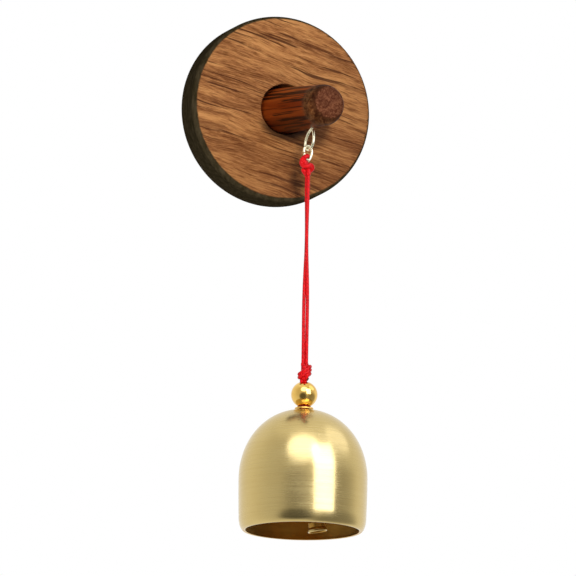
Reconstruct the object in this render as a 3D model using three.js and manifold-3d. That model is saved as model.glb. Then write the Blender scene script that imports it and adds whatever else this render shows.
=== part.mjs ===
// Shopkeeper bell for a door or wall: a hardwood disc with a drooping peg, a brass screw eye and ring under
// the peg, and a small turned brass bell that hangs from them on a doubled red cord, with a bead above it.
// Units are millimetres and +Z is up. The wall is the plane Y = 0 and the object's front faces -Y.

import * as THREE from 'three';
import { mergeVertices } from 'three/addons/utils/BufferGeometryUtils.js';
import Module from 'manifold-3d';

// Clearances
const CLEARANCE = 0.3; // between pieces that rest on or pass through each other
const STACK_GAP = 0.15; // between the bead, the crown washer and the bell, which press on each other
const STRAND_GAP = 0.15; // between the two strands of the doubled cord

// Disc and its foam pad
const DISC_RADIUS = 30;
const DISC_THICKNESS = 11;
const DISC_FRONT_ROUND = 1.4;
const DISC_BACK_CHAMFER = 0.5;
const PAD_RADIUS = 25;
const PAD_THICKNESS = 1;

// Countersunk wood screw that holds the peg from behind
const SCREW_LENGTH = 20;
const SCREW_SHANK_RADIUS = 1.75;
const SCREW_HEAD_RADIUS = 3.5;
const SCREW_HEAD_SINK = 0.6; // depth of the head's top under the disc's back
const SCREW_SEAT_WOOD = 0.7; // wood between the countersink and the peg's hole
const SCREW_POINT = 3;
const SCREW_SLOT_WIDTH = 0.9;
const SCREW_SLOT_DEPTH = 0.8;
const PILOT_SPARE = 1; // pilot hole beyond the screw's point

// Peg, which droops in its loose hole
const PEG_RADIUS = 7.35;
const PEG_END_RADIUS = 6.5;
const PEG_REACH = 38.5; // from the disc's face to the edge of the domed end, along the peg
const PEG_DOME_HEIGHT = 3;
const PEG_DROOP = THREE.MathUtils.degToRad(6.9);
const PEG_ACROSS = 1.4; // how far its hole is to the right of the disc's middle

// Brass screw eye under the peg
const EYE_FROM_FACE = 27; // along the peg, from the disc's face
const EYE_WIRE_RADIUS = 0.4;
const EYE_HALF_WIDTH = 1.9; // to the middle of the wire
const EYE_HALF_HEIGHT = 3.3;
const EYE_WIDER = -0.25; // how much wider than half way the loop gets towards its top
const EYE_NECK = 0.5; // from the peg to the top of the loop
const EYE_STEM = 8.5; // wire inside the peg
const EYE_TURN = THREE.MathUtils.degToRad(20);
const EYE_LEAN = THREE.MathUtils.degToRad(8); // sideways, out of the peg's middle plane
const EYE_MOUTH = THREE.MathUtils.degToRad(40); // opening between the neck and the wire's free end

// Tapered ring that hangs in the eye
const RING_WIRE_RADIUS = 0.4;
const RING_HALF_WIDTH = 1.55; // to the middle of the wire
const RING_HALF_HEIGHT = 2.3;
const RING_WIDER = 0.25; // how much wider than half way it gets towards its top
const RING_RISE = 1.15; // from the middle of the eye's lowest wire to that of the ring's highest
const RING_SPLIT = 0.3;

// Doubled cord: hitch on the ring, two strands and the knots
const CORD_DIAMETER = 1.1;
const HITCH_HALF_WIDTH = 2.4;
const HITCH_HALF_DEPTH = 1.7;
const HITCH_HALF_HEIGHT = 1.7;
const HITCH_DROP = 2.7; // from the ring's lowest wire to the middle of the hitch
const HITCH_CLEARANCE = 0.45; // between the ring's wire and the loop, so that the loop can turn on the bent wire
const KNOT_HALF_WIDTH = 2.3;
const KNOT_HALF_HEIGHT = 2.7;
const KNOT_WRAP_TILT = THREE.MathUtils.degToRad(32);

// Left strand's points: across, towards the wall, and down from the hitch. The right strand mirrors it.
const STRAND_ROUTE = [
  [-0.12, 0.61, 0],
  [-0.08, 0.62, 5],
  [0.02, 0.63, 10],
  [0.12, 0.62, 15],
  [0.16, 0.61, 20],
  [0.08, 0.62, 25],
  [-0.14, 0.61, 30],
  [-0.38, 0.5, 35],
  [-0.54, 0.34, 40],
  [-0.61, 0.17, 46],
  [-0.63, 0.05, 52],
  [-0.63, 0, 57],
  [-0.63, 0, 60.7],
];

// Bead and washers
const BEAD_RADIUS = 4.2;
const CROWN_WASHER_RADIUS = 3;
const CROWN_WASHER_THICKNESS = 0.6;
const INNER_WASHER_RADIUS = 3.6;
const INNER_WASHER_THICKNESS = 1;
const WASHER_EDGE = 0.2;

// Bell
const BELL_RADIUS = 20.4;
const BELL_HEIGHT = 38.8;
const BELL_WALL = 1.6;
const BELL_SHOULDER = 16; // height above the mouth where the dome starts
const BELL_DOME_POWER = 2.1;
const BELL_WAIST_INSET = 0.2; // how much narrower the side is where the lip starts to turn in
const LIP_HEIGHT = 4.5;
const LIP_INSET = 1.6; // how far the lip turns in
const LIP_THICKNESS = 0.6;

// Clapper
const CLAPPER_LEAN = THREE.MathUtils.degToRad(9);
const BOB_HEIGHT = 9.6;
const BOB_RIM_RADIUS = 3.1;
const BOB_RIM_HEIGHT = 0.9;
const BOB_NECK_RADIUS = 1.75;
const BOB_RIM_WALL = 0.8;
const BOB_RECESS = 3.2;
const TAIL_KNOT_RADIUS = 1.3;

// Sides of the round pieces
const DISC_SIDES = 72;
const BELL_SIDES = 48;
const PEG_SIDES = 36;
const SMALL_SIDES = 24;
const WIRE_SIDES = 8;

// Sizes that follow from the ones above
const WEB = SCREW_HEAD_SINK + SCREW_HEAD_RADIUS - SCREW_SHANK_RADIUS + SCREW_SEAT_WOOD;
const HOLE_DEPTH = DISC_THICKNESS - WEB;
const HALF_DEPTH = HOLE_DEPTH / 2;
const HOLE_RADIUS = PEG_RADIUS / Math.cos(PEG_DROOP) + HALF_DEPTH * Math.tan(PEG_DROOP) + CLEARANCE;
const DISC_BACK = -PAD_THICKNESS;
const DISC_FACE = DISC_BACK - DISC_THICKNESS;
const PEG_MIDDLE = DISC_FACE + HALF_DEPTH; // the peg droops about the middle of its hole
const CORD_RADIUS = CORD_DIAMETER / 2;
const CORE_HALF_WIDTH = CORD_DIAMETER + STRAND_GAP / 2;
const BORE_RADIUS = CORE_HALF_WIDTH + CLEARANCE; // through the bead, the washers and the crown
const BEAD_HALF_HEIGHT = Math.sqrt(BEAD_RADIUS ** 2 - BORE_RADIUS ** 2);

const COLOURS = {
  discWood: { color: 0x7c4c2a, roughness: 0.55, metalness: 0 },
  pegWood: { color: 0x6a3420, roughness: 0.5, metalness: 0 },
  foam: { color: 0xe6e4de, roughness: 0.95, metalness: 0 },
  steel: { color: 0xb4b6b8, roughness: 0.35, metalness: 1 },
  wireBrass: { color: 0xd8bd72, roughness: 0.25, metalness: 1 },
  bellBrass: { color: 0xcdb56c, roughness: 0.35, metalness: 1 },
  gold: { color: 0xe0a93c, roughness: 0.12, metalness: 1 },
  redCord: { color: 0xd3131d, roughness: 0.75, metalness: 0 },
};

const wasm = await Module();
wasm.setup();

function named(name, geometry, finish) {
  const mesh = new THREE.Mesh(geometry, new THREE.MeshStandardMaterial(COLOURS[finish]));
  mesh.name = name;
  return mesh;
}

function groupAt(x, y, z) {
  const group = new THREE.Group();
  group.position.set(x, y, z);
  return group;
}

// Turned about Y. The profile's points are radius and height, up the outside and down the inside.
function turned(profile, sides) {
  return new THREE.LatheGeometry(profile.map(([r, h]) => new THREE.Vector2(r, h)), sides);
}

function turnedUpright(profile, sides) {
  return turned(profile, sides).rotateX(Math.PI / 2);
}

// Points of a quarter ellipse that swings from its first axis to its second
function quarter(centre, first, second, steps, power = 2) {
  const points = [];
  for (let i = 0; i <= steps; i += 1) {
    const angle = (i / steps) * (Math.PI / 2);
    const a = Math.cos(angle) ** (2 / power);
    const b = Math.sin(angle) ** (2 / power);
    points.push([centre[0] + first[0] * a + second[0] * b, centre[1] + first[1] * a + second[1] * b]);
  }
  return points;
}

// Round tube along a path
function tube(path, radius, steps) {
  const section = new THREE.Shape();
  for (let i = 0; i < WIRE_SIDES; i += 1) {
    const angle = (i / WIRE_SIDES) * Math.PI * 2;
    const place = [radius * Math.cos(angle), radius * Math.sin(angle)];
    if (i === 0) section.moveTo(...place);
    else section.lineTo(...place);
  }
  section.closePath();
  return new THREE.ExtrudeGeometry(section, { steps, extrudePath: path, bevelEnabled: false });
}

function curveThrough(points) {
  return new THREE.CatmullRomCurve3(points.map((p) => new THREE.Vector3(...p)), false, 'centripetal');
}

// Solid of a closed geometry, for joining and cutting
function solid(geometry) {
  const bare = geometry.clone();
  bare.deleteAttribute('normal');
  bare.deleteAttribute('uv');
  const merged = mergeVertices(bare, 1e-4);
  const index = merged.index.array;
  const triangles = [];
  for (let i = 0; i < index.length; i += 3) {
    const [a, b, c] = [index[i], index[i + 1], index[i + 2]];
    if (a !== b && b !== c && c !== a) triangles.push(a, b, c);
  }
  return new wasm.Manifold(new wasm.Mesh({
    numProp: 3,
    vertProperties: new Float32Array(merged.attributes.position.array),
    triVerts: new Uint32Array(triangles),
  }));
}

function geometryOf(body) {
  const mesh = body.getMesh();
  const geometry = new THREE.BufferGeometry();
  geometry.setAttribute('position', new THREE.BufferAttribute(new Float32Array(mesh.vertProperties), 3));
  geometry.setIndex(new THREE.BufferAttribute(new Uint32Array(mesh.triVerts), 1));
  geometry.computeVertexNormals();
  return geometry;
}

// Disc, pad, peg and screw

// The screw's own outline, or with a margin the hole that it passes through
function screwProfile(margin, pointAt, headTop) {
  const neck = headTop - (SCREW_HEAD_RADIUS - SCREW_SHANK_RADIUS);
  return [
    [SCREW_SHANK_RADIUS + margin, pointAt],
    [SCREW_SHANK_RADIUS + margin, neck],
    [SCREW_HEAD_RADIUS + margin, headTop],
  ];
}

const SCREW_HEAD_TOP = HALF_DEPTH + WEB - SCREW_HEAD_SINK; // along the peg, from the middle of its hole
const SCREW_TIP = SCREW_HEAD_TOP - SCREW_LENGTH;

function wallDisc() {
  const rim = quarter(
    [DISC_RADIUS - DISC_FRONT_ROUND, DISC_FACE + DISC_FRONT_ROUND],
    [0, -DISC_FRONT_ROUND],
    [DISC_FRONT_ROUND, 0],
    4,
  );
  const plate = turned([
    [0, DISC_FACE],
    ...rim,
    [DISC_RADIUS, DISC_BACK - DISC_BACK_CHAMFER],
    [DISC_RADIUS - DISC_BACK_CHAMFER, DISC_BACK],
    [0, DISC_BACK],
  ], DISC_SIDES);
  const beyondFace = DISC_FACE - DISC_FRONT_ROUND;
  const pegHole = turned([
    [0, beyondFace],
    [HOLE_RADIUS, beyondFace],
    [HOLE_RADIUS, DISC_FACE + HOLE_DEPTH],
    [0, DISC_FACE + HOLE_DEPTH],
  ], DISC_SIDES).translate(PEG_ACROSS, 0, 0);
  const insideHole = HALF_DEPTH / 2;
  const beyondBack = SCREW_HEAD_TOP + SCREW_HEAD_SINK + DISC_BACK_CHAMFER;
  const screwHole = turned([
    [0, insideHole],
    ...screwProfile(CLEARANCE, insideHole, SCREW_HEAD_TOP),
    [SCREW_HEAD_RADIUS + CLEARANCE, beyondBack],
    [0, beyondBack],
  ], SMALL_SIDES).rotateX(PEG_DROOP).translate(PEG_ACROSS, PEG_MIDDLE, 0);
  const wood = solid(plate).subtract(solid(pegHole)).subtract(solid(screwHole));
  return named('wall_disc', geometryOf(wood), 'discWood');
}

function adhesivePad() {
  const profile = [[0, DISC_BACK], [PAD_RADIUS, DISC_BACK], [PAD_RADIUS, 0], [0, 0]];
  return named('adhesive_pad', turned(profile, DISC_SIDES), 'foam');
}

function pegScrew() {
  const body = turned([
    [0, SCREW_TIP],
    ...screwProfile(0, SCREW_TIP + SCREW_POINT, SCREW_HEAD_TOP),
    [0, SCREW_HEAD_TOP],
  ], SMALL_SIDES);
  const slot = new THREE.BoxGeometry(SCREW_SLOT_WIDTH, 2 * SCREW_SLOT_DEPTH, 3 * SCREW_HEAD_RADIUS);
  slot.translate(0, SCREW_HEAD_TOP, 0);
  return named('peg_screw', geometryOf(solid(body).subtract(solid(slot))), 'steel');
}

const FACE_ALONG = HALF_DEPTH / Math.cos(PEG_DROOP); // along the peg, from the middle of its hole to the face

function pegRadiusAt(fromFace) {
  return THREE.MathUtils.lerp(PEG_RADIUS, PEG_END_RADIUS, fromFace / PEG_REACH);
}

// Where the eye's stem leaves the peg's underside
function eyePlace() {
  const along = FACE_ALONG + EYE_FROM_FACE;
  const radius = pegRadiusAt(EYE_FROM_FACE);
  return {
    y: PEG_MIDDLE - along * Math.cos(PEG_DROOP) + radius * Math.sin(PEG_DROOP),
    z: -along * Math.sin(PEG_DROOP) - radius * Math.cos(PEG_DROOP),
  };
}

function peg() {
  const edge = -(FACE_ALONG + PEG_REACH);
  const innerEnd = (HALF_DEPTH - CLEARANCE - PEG_RADIUS * Math.sin(PEG_DROOP)) / Math.cos(PEG_DROOP);
  const pilotRadius = SCREW_SHANK_RADIUS + CLEARANCE;
  const pilotEnd = SCREW_TIP - PILOT_SPARE;
  const wood = turned([
    ...quarter([0, edge], [0, -PEG_DOME_HEIGHT], [PEG_END_RADIUS, 0], 7),
    [PEG_RADIUS, -FACE_ALONG],
    [PEG_RADIUS, innerEnd],
    [pilotRadius, innerEnd],
    [pilotRadius, pilotEnd],
    [0, pilotEnd],
  ], PEG_SIDES);
  const boreDepth = EYE_STEM + CLEARANCE;
  const outside = 1;
  const bore = new THREE.CylinderGeometry(
    EYE_WIRE_RADIUS + CLEARANCE,
    EYE_WIRE_RADIUS + CLEARANCE,
    boreDepth + outside,
    WIRE_SIDES * 2,
  ).rotateX(Math.PI / 2);
  bore.translate(0, 0, (boreDepth - outside) / 2);
  bore.rotateY(EYE_LEAN).translate(0, -(FACE_ALONG + EYE_FROM_FACE), -pegRadiusAt(EYE_FROM_FACE));
  return named('peg', geometryOf(solid(wood).subtract(solid(bore))), 'pegWood');
}

// Screw eye and ring. The eye's loop lies in the plane of Y and Z, and the ring's in that of X and Z.

// A point of an egg-shaped loop: across and up from its middle
function eggPoint(angle, halfWidth, halfHeight, wider) {
  return [halfWidth * Math.cos(angle) * (1 + wider * Math.sin(angle)), halfHeight * Math.sin(angle)];
}

function screwEye() {
  const middle = -(EYE_NECK + EYE_HALF_HEIGHT);
  const stem = [[0, 0, EYE_STEM], [0, 0, EYE_STEM / 2], [0, 0, 1], [0, 0.06, 0], [0, 0.3, -0.8 * EYE_NECK]];
  const loop = [];
  const turns = 15;
  const start = THREE.MathUtils.degToRad(60);
  const end = -(3 * Math.PI) / 2 + EYE_MOUTH;
  for (let i = 0; i <= turns; i += 1) {
    const angle = THREE.MathUtils.lerp(start, end, i / turns);
    const [across, up] = eggPoint(angle, EYE_HALF_WIDTH, EYE_HALF_HEIGHT, EYE_WIDER);
    loop.push([0, across, middle + up]);
  }
  return named('screw_eye', tube(curveThrough([...stem, ...loop]), EYE_WIRE_RADIUS, 40), 'wireBrass');
}

function hangRing() {
  const points = [];
  const steps = 22;
  const half = RING_SPLIT / 2 / RING_HALF_HEIGHT; // angle of half the split, at the ring's left side
  for (let i = 0; i <= steps; i += 1) {
    const angle = THREE.MathUtils.lerp(Math.PI - half, -Math.PI + half, i / steps);
    const [across, up] = eggPoint(angle, RING_HALF_WIDTH, RING_HALF_HEIGHT, RING_WIDER);
    points.push([across, 0, RING_RISE - RING_HALF_HEIGHT + up]);
  }
  return named('hang_ring', tube(curveThrough(points), RING_WIRE_RADIUS, 36), 'wireBrass');
}

// Cord

function ellipsoid(halfWidth, halfDepth, halfHeight) {
  return new THREE.SphereGeometry(1, 12, 9).rotateX(Math.PI / 2).scale(halfWidth, halfDepth, halfHeight);
}

// Loop of cord round the ring's lowest wire, with the crossing strand below it
function cordHitch() {
  const loopRadius = RING_WIRE_RADIUS + CORD_RADIUS + HITCH_CLEARANCE;
  const loop = new THREE.TorusGeometry(loopRadius, CORD_RADIUS, WIRE_SIDES, 20).rotateY(Math.PI / 2);
  const crossing = ellipsoid(HITCH_HALF_WIDTH, HITCH_HALF_DEPTH, HITCH_HALF_HEIGHT).translate(0, 0, -HITCH_DROP);
  return named('cord_hitch', geometryOf(solid(loop).add(solid(crossing))), 'redCord');
}

function cordStrand(name, side) {
  const points = STRAND_ROUTE.map(([x, y, down]) => [side * x, side * y, -down]);
  return named(name, tube(curveThrough(points), CORD_RADIUS, 24), 'redCord');
}

// Overhand knot: a core with two wraps that cross on it
function knotGeometry() {
  let body = solid(ellipsoid(0.8 * KNOT_HALF_WIDTH, 0.75 * KNOT_HALF_WIDTH, KNOT_HALF_HEIGHT));
  for (const tilt of [KNOT_WRAP_TILT, -KNOT_WRAP_TILT]) {
    const wrap = new THREE.TorusGeometry(KNOT_HALF_WIDTH - CORD_RADIUS, CORD_RADIUS, WIRE_SIDES, 14);
    wrap.rotateX(0.4 * tilt).rotateY(tilt);
    body = body.add(solid(wrap));
  }
  return geometryOf(body);
}

// The two strands side by side, where they run down through the bead and the crown
function cordCore(length) {
  const half = CORE_HALF_WIDTH - CORD_RADIUS;
  const section = new THREE.Shape();
  section.absarc(half, 0, CORD_RADIUS, -Math.PI / 2, Math.PI / 2);
  section.absarc(-half, 0, CORD_RADIUS, Math.PI / 2, (3 * Math.PI) / 2);
  const geometry = new THREE.ExtrudeGeometry(section, { depth: length, bevelEnabled: false, curveSegments: 3 });
  return named('cord_core', geometry.translate(0, 0, -length), 'redCord');
}

// Bead, washers and bell

function bead() {
  const profile = [];
  const widest = Math.asin(BEAD_HALF_HEIGHT / BEAD_RADIUS);
  const steps = 14;
  for (let i = 0; i <= steps; i += 1) {
    const angle = THREE.MathUtils.lerp(-widest, widest, i / steps);
    profile.push([BEAD_RADIUS * Math.cos(angle), BEAD_RADIUS * Math.sin(angle)]);
  }
  profile.push(profile[0]);
  return named('bead', turnedUpright(profile, SMALL_SIDES), 'gold');
}

function washer(name, radius, thickness, finish) {
  const profile = [
    [BORE_RADIUS, -thickness],
    [radius - WASHER_EDGE, -thickness],
    [radius, WASHER_EDGE - thickness],
    [radius, -WASHER_EDGE],
    [radius - WASHER_EDGE, 0],
    [BORE_RADIUS, 0],
    [BORE_RADIUS, -thickness],
  ];
  return named(name, turnedUpright(profile, SMALL_SIDES), finish);
}

const DOME_HEIGHT = BELL_HEIGHT - BELL_SHOULDER;

// Height above the mouth of a dome that is inset from the bell's outside
function domeHeightAt(radius, inset) {
  const share = (radius / (BELL_RADIUS - inset)) ** BELL_DOME_POWER;
  return BELL_SHOULDER + (DOME_HEIGHT - inset) * (1 - share) ** (1 / BELL_DOME_POWER);
}

// One side of the bell's wall, from the mouth up to the hole in the crown
function bellSide(inset, lipRadius, steps) {
  const waist = BELL_RADIUS - BELL_WAIST_INSET - inset;
  const lip = quarter([lipRadius, LIP_HEIGHT], [0, -LIP_HEIGHT], [waist - lipRadius, 0], 4);
  const dome = quarter([0, BELL_SHOULDER], [BELL_RADIUS - inset, 0], [0, DOME_HEIGHT - inset], steps, BELL_DOME_POWER);
  const side = (LIP_HEIGHT + BELL_SHOULDER) / 2;
  const bulge = BELL_RADIUS - inset - 0.25 * BELL_WAIST_INSET;
  const open = dome.filter(([radius]) => radius > BORE_RADIUS);
  return [...lip, [bulge, side], ...open, [BORE_RADIUS, domeHeightAt(BORE_RADIUS, inset)]];
}

function bellShell() {
  const lipRadius = BELL_RADIUS - BELL_WAIST_INSET - LIP_INSET;
  const outside = bellSide(0, lipRadius, 12);
  const inside = bellSide(BELL_WALL, lipRadius - LIP_THICKNESS, 9).reverse();
  const profile = [...outside, ...inside, outside[0]].map(([r, h]) => [r, h - BELL_HEIGHT]);
  return named('bell_shell', turnedUpright(profile, BELL_SIDES), 'bellBrass');
}

// Clapper: a flared bob with a recess under it that hides the knot of its cord

function clapperBob() {
  const bore = CORD_RADIUS + CLEARANCE;
  const recess = BOB_RIM_RADIUS - BOB_RIM_WALL;
  const waist = BOB_HEIGHT * 0.66;
  const profile = [
    [recess, 0],
    [BOB_RIM_RADIUS, 0],
    [BOB_RIM_RADIUS, BOB_RIM_HEIGHT],
    [THREE.MathUtils.lerp(BOB_RIM_RADIUS, BOB_NECK_RADIUS, 0.45), BOB_RIM_HEIGHT + 0.25 * (waist - BOB_RIM_HEIGHT)],
    [THREE.MathUtils.lerp(BOB_RIM_RADIUS, BOB_NECK_RADIUS, 0.85), BOB_RIM_HEIGHT + 0.65 * (waist - BOB_RIM_HEIGHT)],
    [BOB_NECK_RADIUS, waist],
    [BOB_NECK_RADIUS + 0.1, BOB_HEIGHT - 0.9],
    [BOB_NECK_RADIUS - 0.3, BOB_HEIGHT],
    [bore, BOB_HEIGHT],
    [bore, BOB_RECESS],
    [recess - CLEARANCE, BOB_RECESS],
    [recess, BOB_RECESS - CLEARANCE],
    [recess, 0],
  ];
  return named('clapper_bob', turnedUpright(profile, SMALL_SIDES), 'bellBrass');
}

function clapperCord(length) {
  return named('clapper_cord', tube(curveThrough([[0, 0, 0], [0, 0, -length / 2], [0, 0, -length]]), CORD_RADIUS, 8), 'redCord');
}

// Assembly, from the wall out to the bell. Each group stands at the point its pieces turn about.

const bellHanger = new THREE.Group();
bellHanger.add(wallDisc(), adhesivePad());

const pegGroup = groupAt(PEG_ACROSS, PEG_MIDDLE, 0);
pegGroup.rotation.x = PEG_DROOP;
pegGroup.add(peg(), pegScrew());
bellHanger.add(pegGroup);

const eyeGroup = groupAt(PEG_ACROSS, eyePlace().y, eyePlace().z);
eyeGroup.rotation.set(PEG_DROOP, EYE_LEAN, EYE_TURN);
eyeGroup.add(screwEye());
bellHanger.add(eyeGroup);

const eyeBottom = new THREE.Vector3(0, 0, -(EYE_NECK + 2 * EYE_HALF_HEIGHT)).applyEuler(eyeGroup.rotation);
eyeBottom.add(eyeGroup.position);
const ringGroup = groupAt(eyeBottom.x, eyeBottom.y, eyeBottom.z);
ringGroup.rotation.z = EYE_TURN;
ringGroup.add(hangRing());
bellHanger.add(ringGroup);

const cordGroup = groupAt(0, 0, RING_RISE - 2 * RING_HALF_HEIGHT);
const strands = groupAt(0, 0, -(HITCH_DROP + HITCH_HALF_HEIGHT + CLEARANCE));
strands.rotation.z = -EYE_TURN;
strands.add(cordStrand('cord_strand_left', 1), cordStrand('cord_strand_right', -1));
const hitch = cordHitch();
hitch.rotation.z = -EYE_TURN; // square to the axis that the cord swings on
cordGroup.add(hitch, strands);
ringGroup.add(cordGroup);

const strandLength = STRAND_ROUTE.at(-1)[2];
const knotGroup = groupAt(0, 0, -(strandLength + CLEARANCE + KNOT_HALF_HEIGHT));
knotGroup.add(named('cord_knot', knotGeometry(), 'redCord'));
strands.add(knotGroup);

const beadGroup = groupAt(0, 0, -(KNOT_HALF_HEIGHT + CLEARANCE + BEAD_HALF_HEIGHT));
beadGroup.add(bead());
knotGroup.add(beadGroup);

const bellGroup = groupAt(0, 0, beadGroup.position.z - BEAD_HALF_HEIGHT - STACK_GAP);
const crown = -(CROWN_WASHER_THICKNESS + STACK_GAP); // top of the bell under the top of the crown washer
const shell = bellShell();
shell.position.z = crown;
const innerWasher = washer('inner_washer', INNER_WASHER_RADIUS, INNER_WASHER_THICKNESS, 'wireBrass');
innerWasher.position.z = crown - BELL_HEIGHT + domeHeightAt(INNER_WASHER_RADIUS, BELL_WALL) - CLEARANCE;
bellGroup.add(washer('crown_washer', CROWN_WASHER_RADIUS, CROWN_WASHER_THICKNESS, 'gold'), shell, innerWasher);
knotGroup.add(bellGroup);

const innerWasherBottom = bellGroup.position.z + innerWasher.position.z - INNER_WASHER_THICKNESS;
const innerKnotAt = innerWasherBottom - CLEARANCE - KNOT_HALF_HEIGHT;
const innerKnot = named('inner_knot', knotGeometry(), 'redCord');
innerKnot.position.z = innerKnotAt;
const core = cordCore(-innerKnotAt - 2 * (KNOT_HALF_HEIGHT + CLEARANCE));
core.position.z = -(KNOT_HALF_HEIGHT + CLEARANCE);
knotGroup.add(core, innerKnot);

const clapperGroup = groupAt(0, 0, innerKnotAt);
clapperGroup.rotation.y = -CLAPPER_LEAN;
const mouth = bellGroup.position.z + crown - BELL_HEIGHT;
const bobBottom = (innerKnotAt - mouth) / Math.cos(CLAPPER_LEAN);
const tail = clapperCord(bobBottom - BOB_RECESS - KNOT_HALF_HEIGHT - CLEARANCE);
tail.position.z = -(KNOT_HALF_HEIGHT + CLEARANCE);
const bob = clapperBob();
bob.position.z = -bobBottom;
const tailKnot = named('clapper_knot', new THREE.SphereGeometry(TAIL_KNOT_RADIUS, 12, 8), 'redCord');
tailKnot.position.z = -bobBottom + BOB_RECESS - CLEARANCE - TAIL_KNOT_RADIUS;
clapperGroup.add(tail, bob, tailKnot);
knotGroup.add(clapperGroup);

export default bellHanger;
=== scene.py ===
"""Shopkeeper bell: a hardwood disc with a peg, a screw eye and ring, and a brass bell on a doubled red cord.

Lengths are metres, or millimetres where a class or function says so. The wall is the plane Y = 0, the front
faces -Y, and +Z is up.
"""

import logging
import math
from dataclasses import dataclass
from enum import Enum
from typing import NamedTuple, Optional, Sequence

import bpy
from mathutils import Matrix, Vector


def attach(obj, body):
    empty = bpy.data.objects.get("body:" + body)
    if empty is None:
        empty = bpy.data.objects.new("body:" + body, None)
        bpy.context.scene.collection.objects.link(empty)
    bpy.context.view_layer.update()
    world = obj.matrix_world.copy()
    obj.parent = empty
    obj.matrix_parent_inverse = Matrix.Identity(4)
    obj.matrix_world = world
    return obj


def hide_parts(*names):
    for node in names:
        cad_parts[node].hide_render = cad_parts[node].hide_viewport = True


LOG = logging.getLogger("shopkeeper_bell")
MM = 0.001
PER_MM = 1000
TO_WALL = Matrix.Rotation(-math.pi / 2, 4, "X")  # turns the top of a turned piece to the wall
HARD_CORNER = 35.0  # degrees past which a corner shows
SOFT_CORNER = 50.0
LATHE_MERGE = 2e-6  # points of turned pieces nearer than this are one
WIRE_MERGE = 1e-6
WIRE_SECTION = 6  # how finely a wire is round
WIRE_STEPS = 5  # steps along a wire between two points of its path
INWARD = -0.05  # a face looks inward where its normal points less outward than this
Point = tuple[float, float, float]
Pair = tuple[float, float]
Profile = list[Pair]

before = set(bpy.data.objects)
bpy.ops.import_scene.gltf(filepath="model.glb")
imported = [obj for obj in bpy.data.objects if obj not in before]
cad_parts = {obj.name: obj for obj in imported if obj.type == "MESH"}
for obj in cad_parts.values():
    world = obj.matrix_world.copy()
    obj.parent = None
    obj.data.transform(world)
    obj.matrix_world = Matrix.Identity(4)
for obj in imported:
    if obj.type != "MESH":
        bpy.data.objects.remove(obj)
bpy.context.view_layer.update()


class Slot(Enum):
    """Material slots of the record."""

    DISC_WOOD = "disc_wood"
    PEG_WOOD = "peg_wood"
    FOAM = "foam"
    STEEL = "steel"
    WIRE_BRASS = "wire_brass"
    BELL_BRASS = "bell_brass"
    GOLD = "gold"
    RED_CORD = "red_cord"


class Body(Enum):
    """Moving bodies of the frame."""

    WALL_MOUNT = "wall_mount"
    RING = "ring"
    CORD = "cord"
    KNOT = "knot"
    BEAD = "bead"
    BELL = "bell"
    CLAPPER = "clapper"


# Modelling


def clear_selection() -> None:
    """Leaves edit mode and deselects everything."""
    if bpy.context.object is not None and bpy.context.object.mode != "OBJECT":
        bpy.ops.object.mode_set(mode="OBJECT")
    bpy.ops.object.select_all(action="DESELECT")


def choose(piece: bpy.types.Object) -> None:
    """Makes a piece the only selected and active object.

    Args:
        piece: The object to select.
    """
    clear_selection()
    piece.select_set(True)
    bpy.context.view_layer.objects.active = piece


def smooth(piece: bpy.types.Object, degrees: float = HARD_CORNER) -> None:
    """Shades a piece smooth except across sharp corners.

    Args:
        piece: The mesh object.
        degrees: Corners sharper than this stay sharp.
    """
    choose(piece)
    bpy.ops.object.shade_smooth_by_angle(angle=math.radians(degrees))


def place(piece: bpy.types.Object, matrix: Matrix) -> None:
    """Puts a piece in its place and applies that to its mesh.

    Args:
        piece: The mesh object, made about the origin.
        matrix: Its place in the row frame.
    """
    choose(piece)
    piece.matrix_world = matrix
    bpy.ops.object.transform_apply(location=True, rotation=True, scale=True)


def turned(name: str, profile: Profile, sides: int) -> bpy.types.Object:
    """Turns a profile about Z, as on a lathe.

    Args:
        name: The piece's name.
        profile: Radius and height of each point in millimetres, joined to the first one at the end.
        sides: Steps round the axis.

    Returns:
        The turned mesh object.
    """
    clear_selection()
    bpy.ops.mesh.primitive_plane_add(size=MM, location=(0, 0, 0))
    piece = bpy.context.object
    piece.name = name
    bpy.ops.object.mode_set(mode="EDIT")
    bpy.ops.mesh.select_mode(type="VERT")
    bpy.ops.mesh.select_all(action="SELECT")
    bpy.ops.mesh.merge(type="CENTER")
    radius, height = profile[0]
    bpy.ops.transform.translate(value=(radius * MM, 0, height * MM))
    for following in profile[1:]:
        step = ((following[0] - radius) * MM, 0, (following[1] - height) * MM)
        bpy.ops.mesh.extrude_vertices_move(TRANSFORM_OT_translate={"value": step})
        radius, height = following
    bpy.ops.mesh.select_all(action="SELECT")
    bpy.ops.mesh.spin(steps=sides, angle=2 * math.pi, center=(0, 0, 0), axis=(0, 0, 1))
    bpy.ops.mesh.select_all(action="SELECT")
    bpy.ops.mesh.remove_doubles(threshold=LATHE_MERGE)
    bpy.ops.mesh.normals_make_consistent(inside=False)
    clear_selection()
    smooth(piece)
    return piece


def arc(centre: Pair, first: Pair, second: Pair, steps: int, power: float = 2.0) -> Profile:
    """Points of a quarter ellipse from its first axis to its second.

    Args:
        centre: Middle of the ellipse.
        first: Vector to the point where it starts.
        second: Vector to the point where it ends.
        steps: Steps from start to end.
        power: 2 for an ellipse, more for a squarer one.

    Returns:
        The points of a profile.
    """
    points = []
    for i in range(steps + 1):
        angle = i / steps * math.pi / 2
        a = max(math.cos(angle), 0.0) ** (2 / power)
        b = max(math.sin(angle), 0.0) ** (2 / power)
        points.append((centre[0] + first[0] * a + second[0] * b, centre[1] + first[1] * a + second[1] * b))
    return points


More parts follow.
